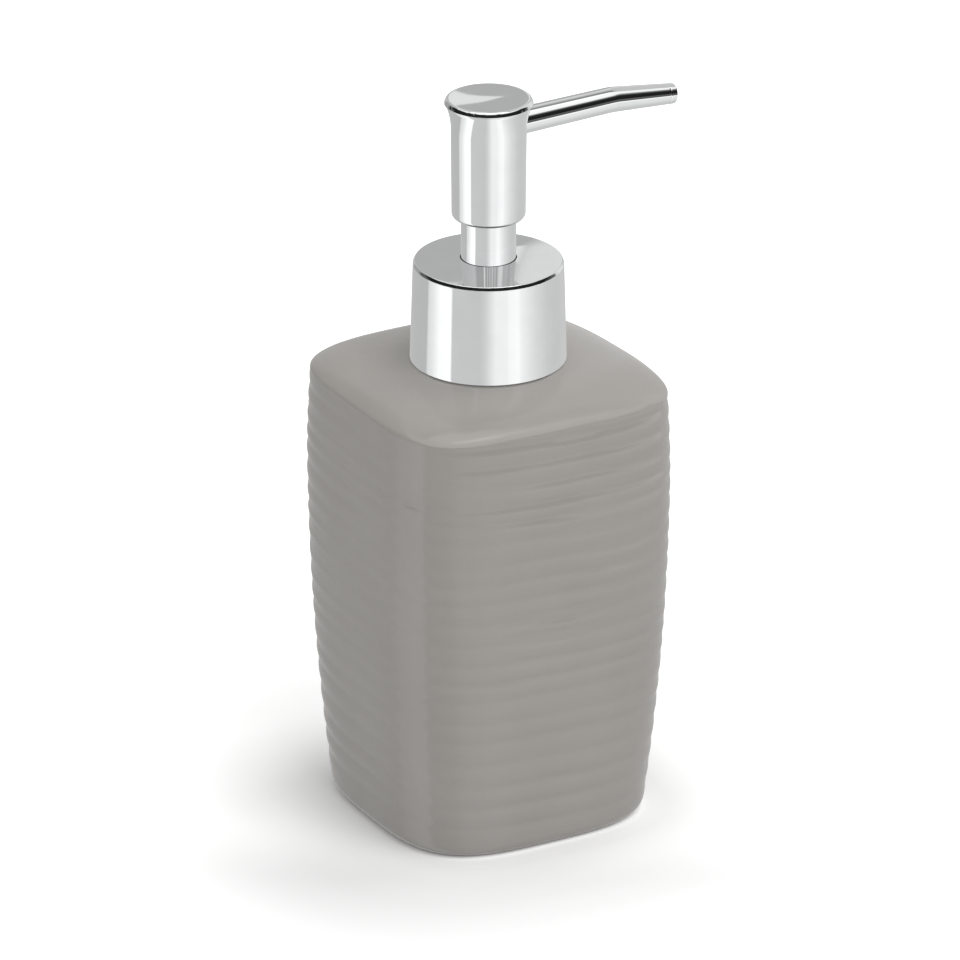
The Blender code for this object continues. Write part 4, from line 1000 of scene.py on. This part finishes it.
def far_side(n, beyond, height):
    """The cards on the far side, by bearing from straight away and by height."""
    light = n.by(n.maths("ADD", beyond, n.span(height, *LEAN_HEIGHTS, LEAN, 0.0)), FAR_BANDS)
    card = n.times(n.rise(height, *UPPER_CARD_FOOT), n.fall(beyond, *UPPER_CARD_EDGE))
    light = n.mix(card, light, UPPER_CARD_LIGHT)
    under_top = n.rise(n.maths("SUBTRACT", n.by(beyond, WEDGE_TOP), height), *WEDGE_TOP_EDGE)
    over_foot = n.rise(n.maths("SUBTRACT", height, n.by(beyond, WEDGE_FOOT)), *WEDGE_FOOT_EDGE)
    between = n.fall(n.maths("ABSOLUTE", beyond), *WEDGE_ENDS)
    light = n.mix(n.times(n.times(under_top, over_foot), between), light, WEDGE_LIGHT)
    return n.times(n.by(height, FAR_HEIGHTS), light)


def camera_side(n, bearing, height):
    """The camera's side above the horizon: dark low down, and lighter at both ends."""
    right_end = n.span(bearing, *RIGHT_END, 0.0, RIGHT_END_LIGHT)
    left_end = n.span(n.times(bearing, -1.0), *LEFT_END, 0.0, LEFT_END_LIGHT)
    return n.maths("MAXIMUM", n.by(height, FRONT_HEIGHTS), n.maths("ADD", right_end, left_end))


def mirrored_light(n, way, path):
    """What mirrors see of the studio, once and a second time."""
    ahead = n.along(way, (-CAMERA_FORWARD.x, -CAMERA_FORWARD.y, 0))
    aside = n.along(way, CAMERA_RIGHT)
    bearing = n.maths("DEGREES", n.maths("ARCTAN2", aside, ahead))
    beyond = n.maths("DEGREES", n.maths("ARCTAN2", aside, n.times(ahead, -1.0)))
    height = n.maths("DEGREES", n.maths("ARCSINE", n.upwards(way)))

    cards = n.by(bearing, TABLE_BANDS)
    beside = n.times(n.rise(bearing, *EDGE_START), n.fall(bearing, *EDGE_END))
    edge = n.times(n.rise(height, *EDGE_HEIGHTS), beside)
    below = n.maths("MAXIMUM", cards, n.times(edge, EDGE_LIGHT))
    widening = n.span(height, *FAR_SIDE_WIDENS, 0.0, FAR_SIDE_GAIN)
    behind = n.rise(n.maths("ADD", n.maths("ABSOLUTE", bearing), widening), *FAR_SIDE)
    above = n.mix(behind, camera_side(n, bearing, height), far_side(n, beyond, height))
    once = n.mix(n.rise(height, *HORIZON), below, above)
    once = n.mix(overhead_bar(n, way), once, BAR_LIGHT)

    stripes = n.by(bearing, STRIPE_BANDS)
    twice = n.mix(n.rise(height, *STRIPES_FOOT), n.times(cards, SECOND_TABLE_GAIN), stripes)
    twice = n.mix(n.rise(height, *CEILING_FOOT), twice, CEILING_LIGHT)
    seen = n.mix(n.maths("GREATER_THAN", path["Glossy Depth"], 1.5), once, twice)
    return seen, height


def studio():
    """White to the camera, a plain soft light on surfaces, and a studio's cards in what mirrors."""
    world = bpy.data.worlds.new("studio")
    bpy.context.scene.world = world
    n = Nodes(world)
    way = n.add("ShaderNodeTexCoord").outputs["Generated"]
    path = n.add("ShaderNodeLightPath").outputs
    mirrored, height = mirrored_light(n, way, path)
    mirrored = n.mix(n.maths("GREATER_THAN", path["Diffuse Depth"], 0.5), mirrored, THROWN_LIGHT)
    soft = n.times(SKY_LEVEL, n.span(height, *SKY_HEIGHTS, *SKY_SHARES))
    level = n.mix(path["Is Glossy Ray"], soft, mirrored)
    level = n.mix(n.maths("MAXIMUM", path["Is Camera Ray"], path["Is Transmission Ray"]), level, 1.0)
    n.show("ShaderNodeOutputWorld", n.add("ShaderNodeBackground", {"Color": level, "Strength": 1.0}))


LAMP_AIM = Vector((0, 0, 0.08))
LAMPS = (
    # name, place, size, watts
    ("key", (0.36, 0.02, 1.1), 0.4, 1.9),
    ("fill_front", (0.05, -0.5, 1.1), 0.6, 3.3),
    ("fill_right", (0.55, -1.15, 0.75), 0.9, 1.7),
)


def lamps():
    """Soft lamps, aimed at the bottle. What mirrors sees the studio's cards instead of them."""
    for name, place, size, watts in LAMPS:
        data = bpy.data.lights.new(name, "AREA")
        data.shape = "DISK"
        data.size = size
        data.energy = watts
        lamp = add_object(name, data)
        lamp.location = place
        lamp.rotation_mode = "QUATERNION"
        lamp.rotation_quaternion = (LAMP_AIM - Vector(place)).to_track_quat("-Z", "Y")
        lamp.visible_glossy = False


FLOOR_COLOUR = 0.86
FLOOR_HALF_WIDTH = 6.0
FLOOR_DROP = 0.02 * MM
FOOT_REACH = 31 * MM
# Painted light that the floor adds for the camera, by distance from the foot in millimetres: beside it and
# in front of it. Low near the foot, it paints the edge of the object's shadow, and farther off it whitens the
# floor
SIDE_PAINTED_LIGHT = ((0, 0.0), (8, 0.04), (14, 0.1), (19, 0.15), (24, 0.19), (30, 0.23), (55, 0.23), (90, 0.25),
             (140, 0.35), (400, 0.6))
FRONT_PAINTED_LIGHT = ((0, 0.0), (8, 0.04), (14, 0.01), (24, 0.0), (36, 0.04), (55, 0.15), (90, 0.22), (140, 0.35),
              (400, 0.6))
# The front turns into the side between these distances, counted away from the camera
FRONT_END = (-50 * MM, -15 * MM)
# Painted light that it adds close to the foot, on the right alone, lightening the shadow there, and the
# distances to the right where that comes in
FOOT_PAINTED_LIGHT = ((-0.4, 0.0), (0.3, 0.09), (0.9, 0.28), (1.6, 0.30), (2.3, 0.18), (3, 0.1), (4, 0.05), (7, 0.0))
FOOT_PAINTED_LIGHT_START = (-26 * MM, 2 * MM)


def painted_floor_light(n):
    """Painted light that the floor adds for the camera: it paints the edge of the object's shadow and whitens
    the far floor.
    """
    point = n.add("ShaderNodeTexCoord").outputs["Object"]
    across = n.add("ShaderNodeSeparateXYZ", {0: point}).outputs
    powers = [n.maths("POWER", n.maths("ABSOLUTE", across[axis]), BASE_SQUARENESS) for axis in "XY"]
    reach = n.maths("POWER", n.maths("ADD", *powers), 1 / BASE_SQUARENESS)
    away = n.maths("DIVIDE", n.maths("SUBTRACT", reach, FOOT_REACH), MM)
    beside = n.rise(n.along(point, (*CAMERA_FORWARD, 0)), *FRONT_END)
    painted_light = n.mix(beside, n.by(away, FRONT_PAINTED_LIGHT), n.by(away, SIDE_PAINTED_LIGHT))
    on_right = n.rise(n.along(point, CAMERA_RIGHT), *FOOT_PAINTED_LIGHT_START)
    painted_light = n.maths("ADD", painted_light, n.times(n.by(away, FOOT_PAINTED_LIGHT), on_right))
    return n.times(n.add("ShaderNodeLightPath").outputs["Is Camera Ray"], painted_light)


def floor():
    """Pale floor that keeps the soft shadow, with painted light that shapes the shadow's edge, and runs into
    the white background.
    """
    mesh = bpy.data.meshes.new("floor")
    corners = [(-1, -1), (1, -1), (1, 1), (-1, 1)]
    mesh.from_pydata([(x * FLOOR_HALF_WIDTH, y * FLOOR_HALF_WIDTH, -FLOOR_DROP) for x, y in corners],
                     [], [(0, 1, 2, 3)])
    piece = add_object("floor", mesh)
    made, n = material("floor")
    matt = n.add("ShaderNodeBsdfDiffuse", {"Color": (FLOOR_COLOUR, FLOOR_COLOUR, FLOOR_COLOUR, 1)})
    # Painted light: an emission that the camera alone sees, which paints the shadow's edge and whitens the
    # far floor
    painted_glow = n.add("ShaderNodeEmission", {"Color": (1, 1, 1, 1), "Strength": painted_floor_light(n)})
    both = n.add("ShaderNodeAddShader", {0: matt.outputs[0], 1: painted_glow.outputs[0]})
    n.show("ShaderNodeOutputMaterial", both)
    mesh.materials.append(made)
    piece.visible_glossy = False


def camera():
    """The photograph's viewpoint."""
    data = bpy.data.cameras.new("camera")
    data.sensor_width = SENSOR_WIDTH
    data.lens = CAMERA_PIXELS / IMAGE_SIZE * SENSOR_WIDTH
    data.clip_start = 0.05
    data.clip_end = 50
    item = add_object("camera", data)
    flat = CAMERA_FORWARD.normalized()
    ahead = Vector((flat.x * cos(CAMERA_ELEVATION), flat.y * cos(CAMERA_ELEVATION), -sin(CAMERA_ELEVATION)))
    level_right = Vector((flat.y, -flat.x, 0))
    level_up = level_right.cross(ahead)
    right = cos(CAMERA_ROLL) * level_right - sin(CAMERA_ROLL) * level_up
    up = sin(CAMERA_ROLL) * level_right + cos(CAMERA_ROLL) * level_up
    middle = IMAGE_SIZE / 2
    ray = right * ((CAMERA_AIM_PIXEL[0] - middle) / CAMERA_PIXELS)
    ray += up * ((middle - CAMERA_AIM_PIXEL[1]) / CAMERA_PIXELS) + ahead
    place = CAMERA_AIM - ray * CAMERA_DISTANCE
    item.matrix_world = Matrix((
        (right.x, up.x, -ahead.x, place.x),
        (right.y, up.y, -ahead.y, place.y),
        (right.z, up.z, -ahead.z, place.z),
        (0, 0, 0, 1),
    ))
    bpy.context.scene.camera = item


def dress_hidden_nodes(wire):
    """Give every node that keeps its own shape a material that fits its stuff."""
    finishes = {
        "white_plastic": moulded("white_plastic", base=(0.82, 0.83, 0.82), roughness=0.4),
        "rubber": moulded("rubber", base=(0.16, 0.16, 0.17), roughness=0.65, grain=1400),
        "clear_tube": milky(),
        "steel": wire,
    }
    for row in frame["record"]["subparts"]:
        finish = finishes.get(row["material_slot"])
        if finish:
            item = frame["nodes"][row["node"]]
            for place in item.material_slots:
                place.material = finish
            if not item.material_slots:
                item.data.materials.append(finish)


wire = steel()
plating = chrome()
dress_hidden_nodes(wire)
make_bottle()
make_collar(plating)
make_sleeve(plating)
make_head_shell(plating)
make_cap(plating)
make_spout(plating)
make_spring(wire)
floor()
studio()
lamps()
camera()
bpy.context.scene.view_settings.view_transform = "Standard"
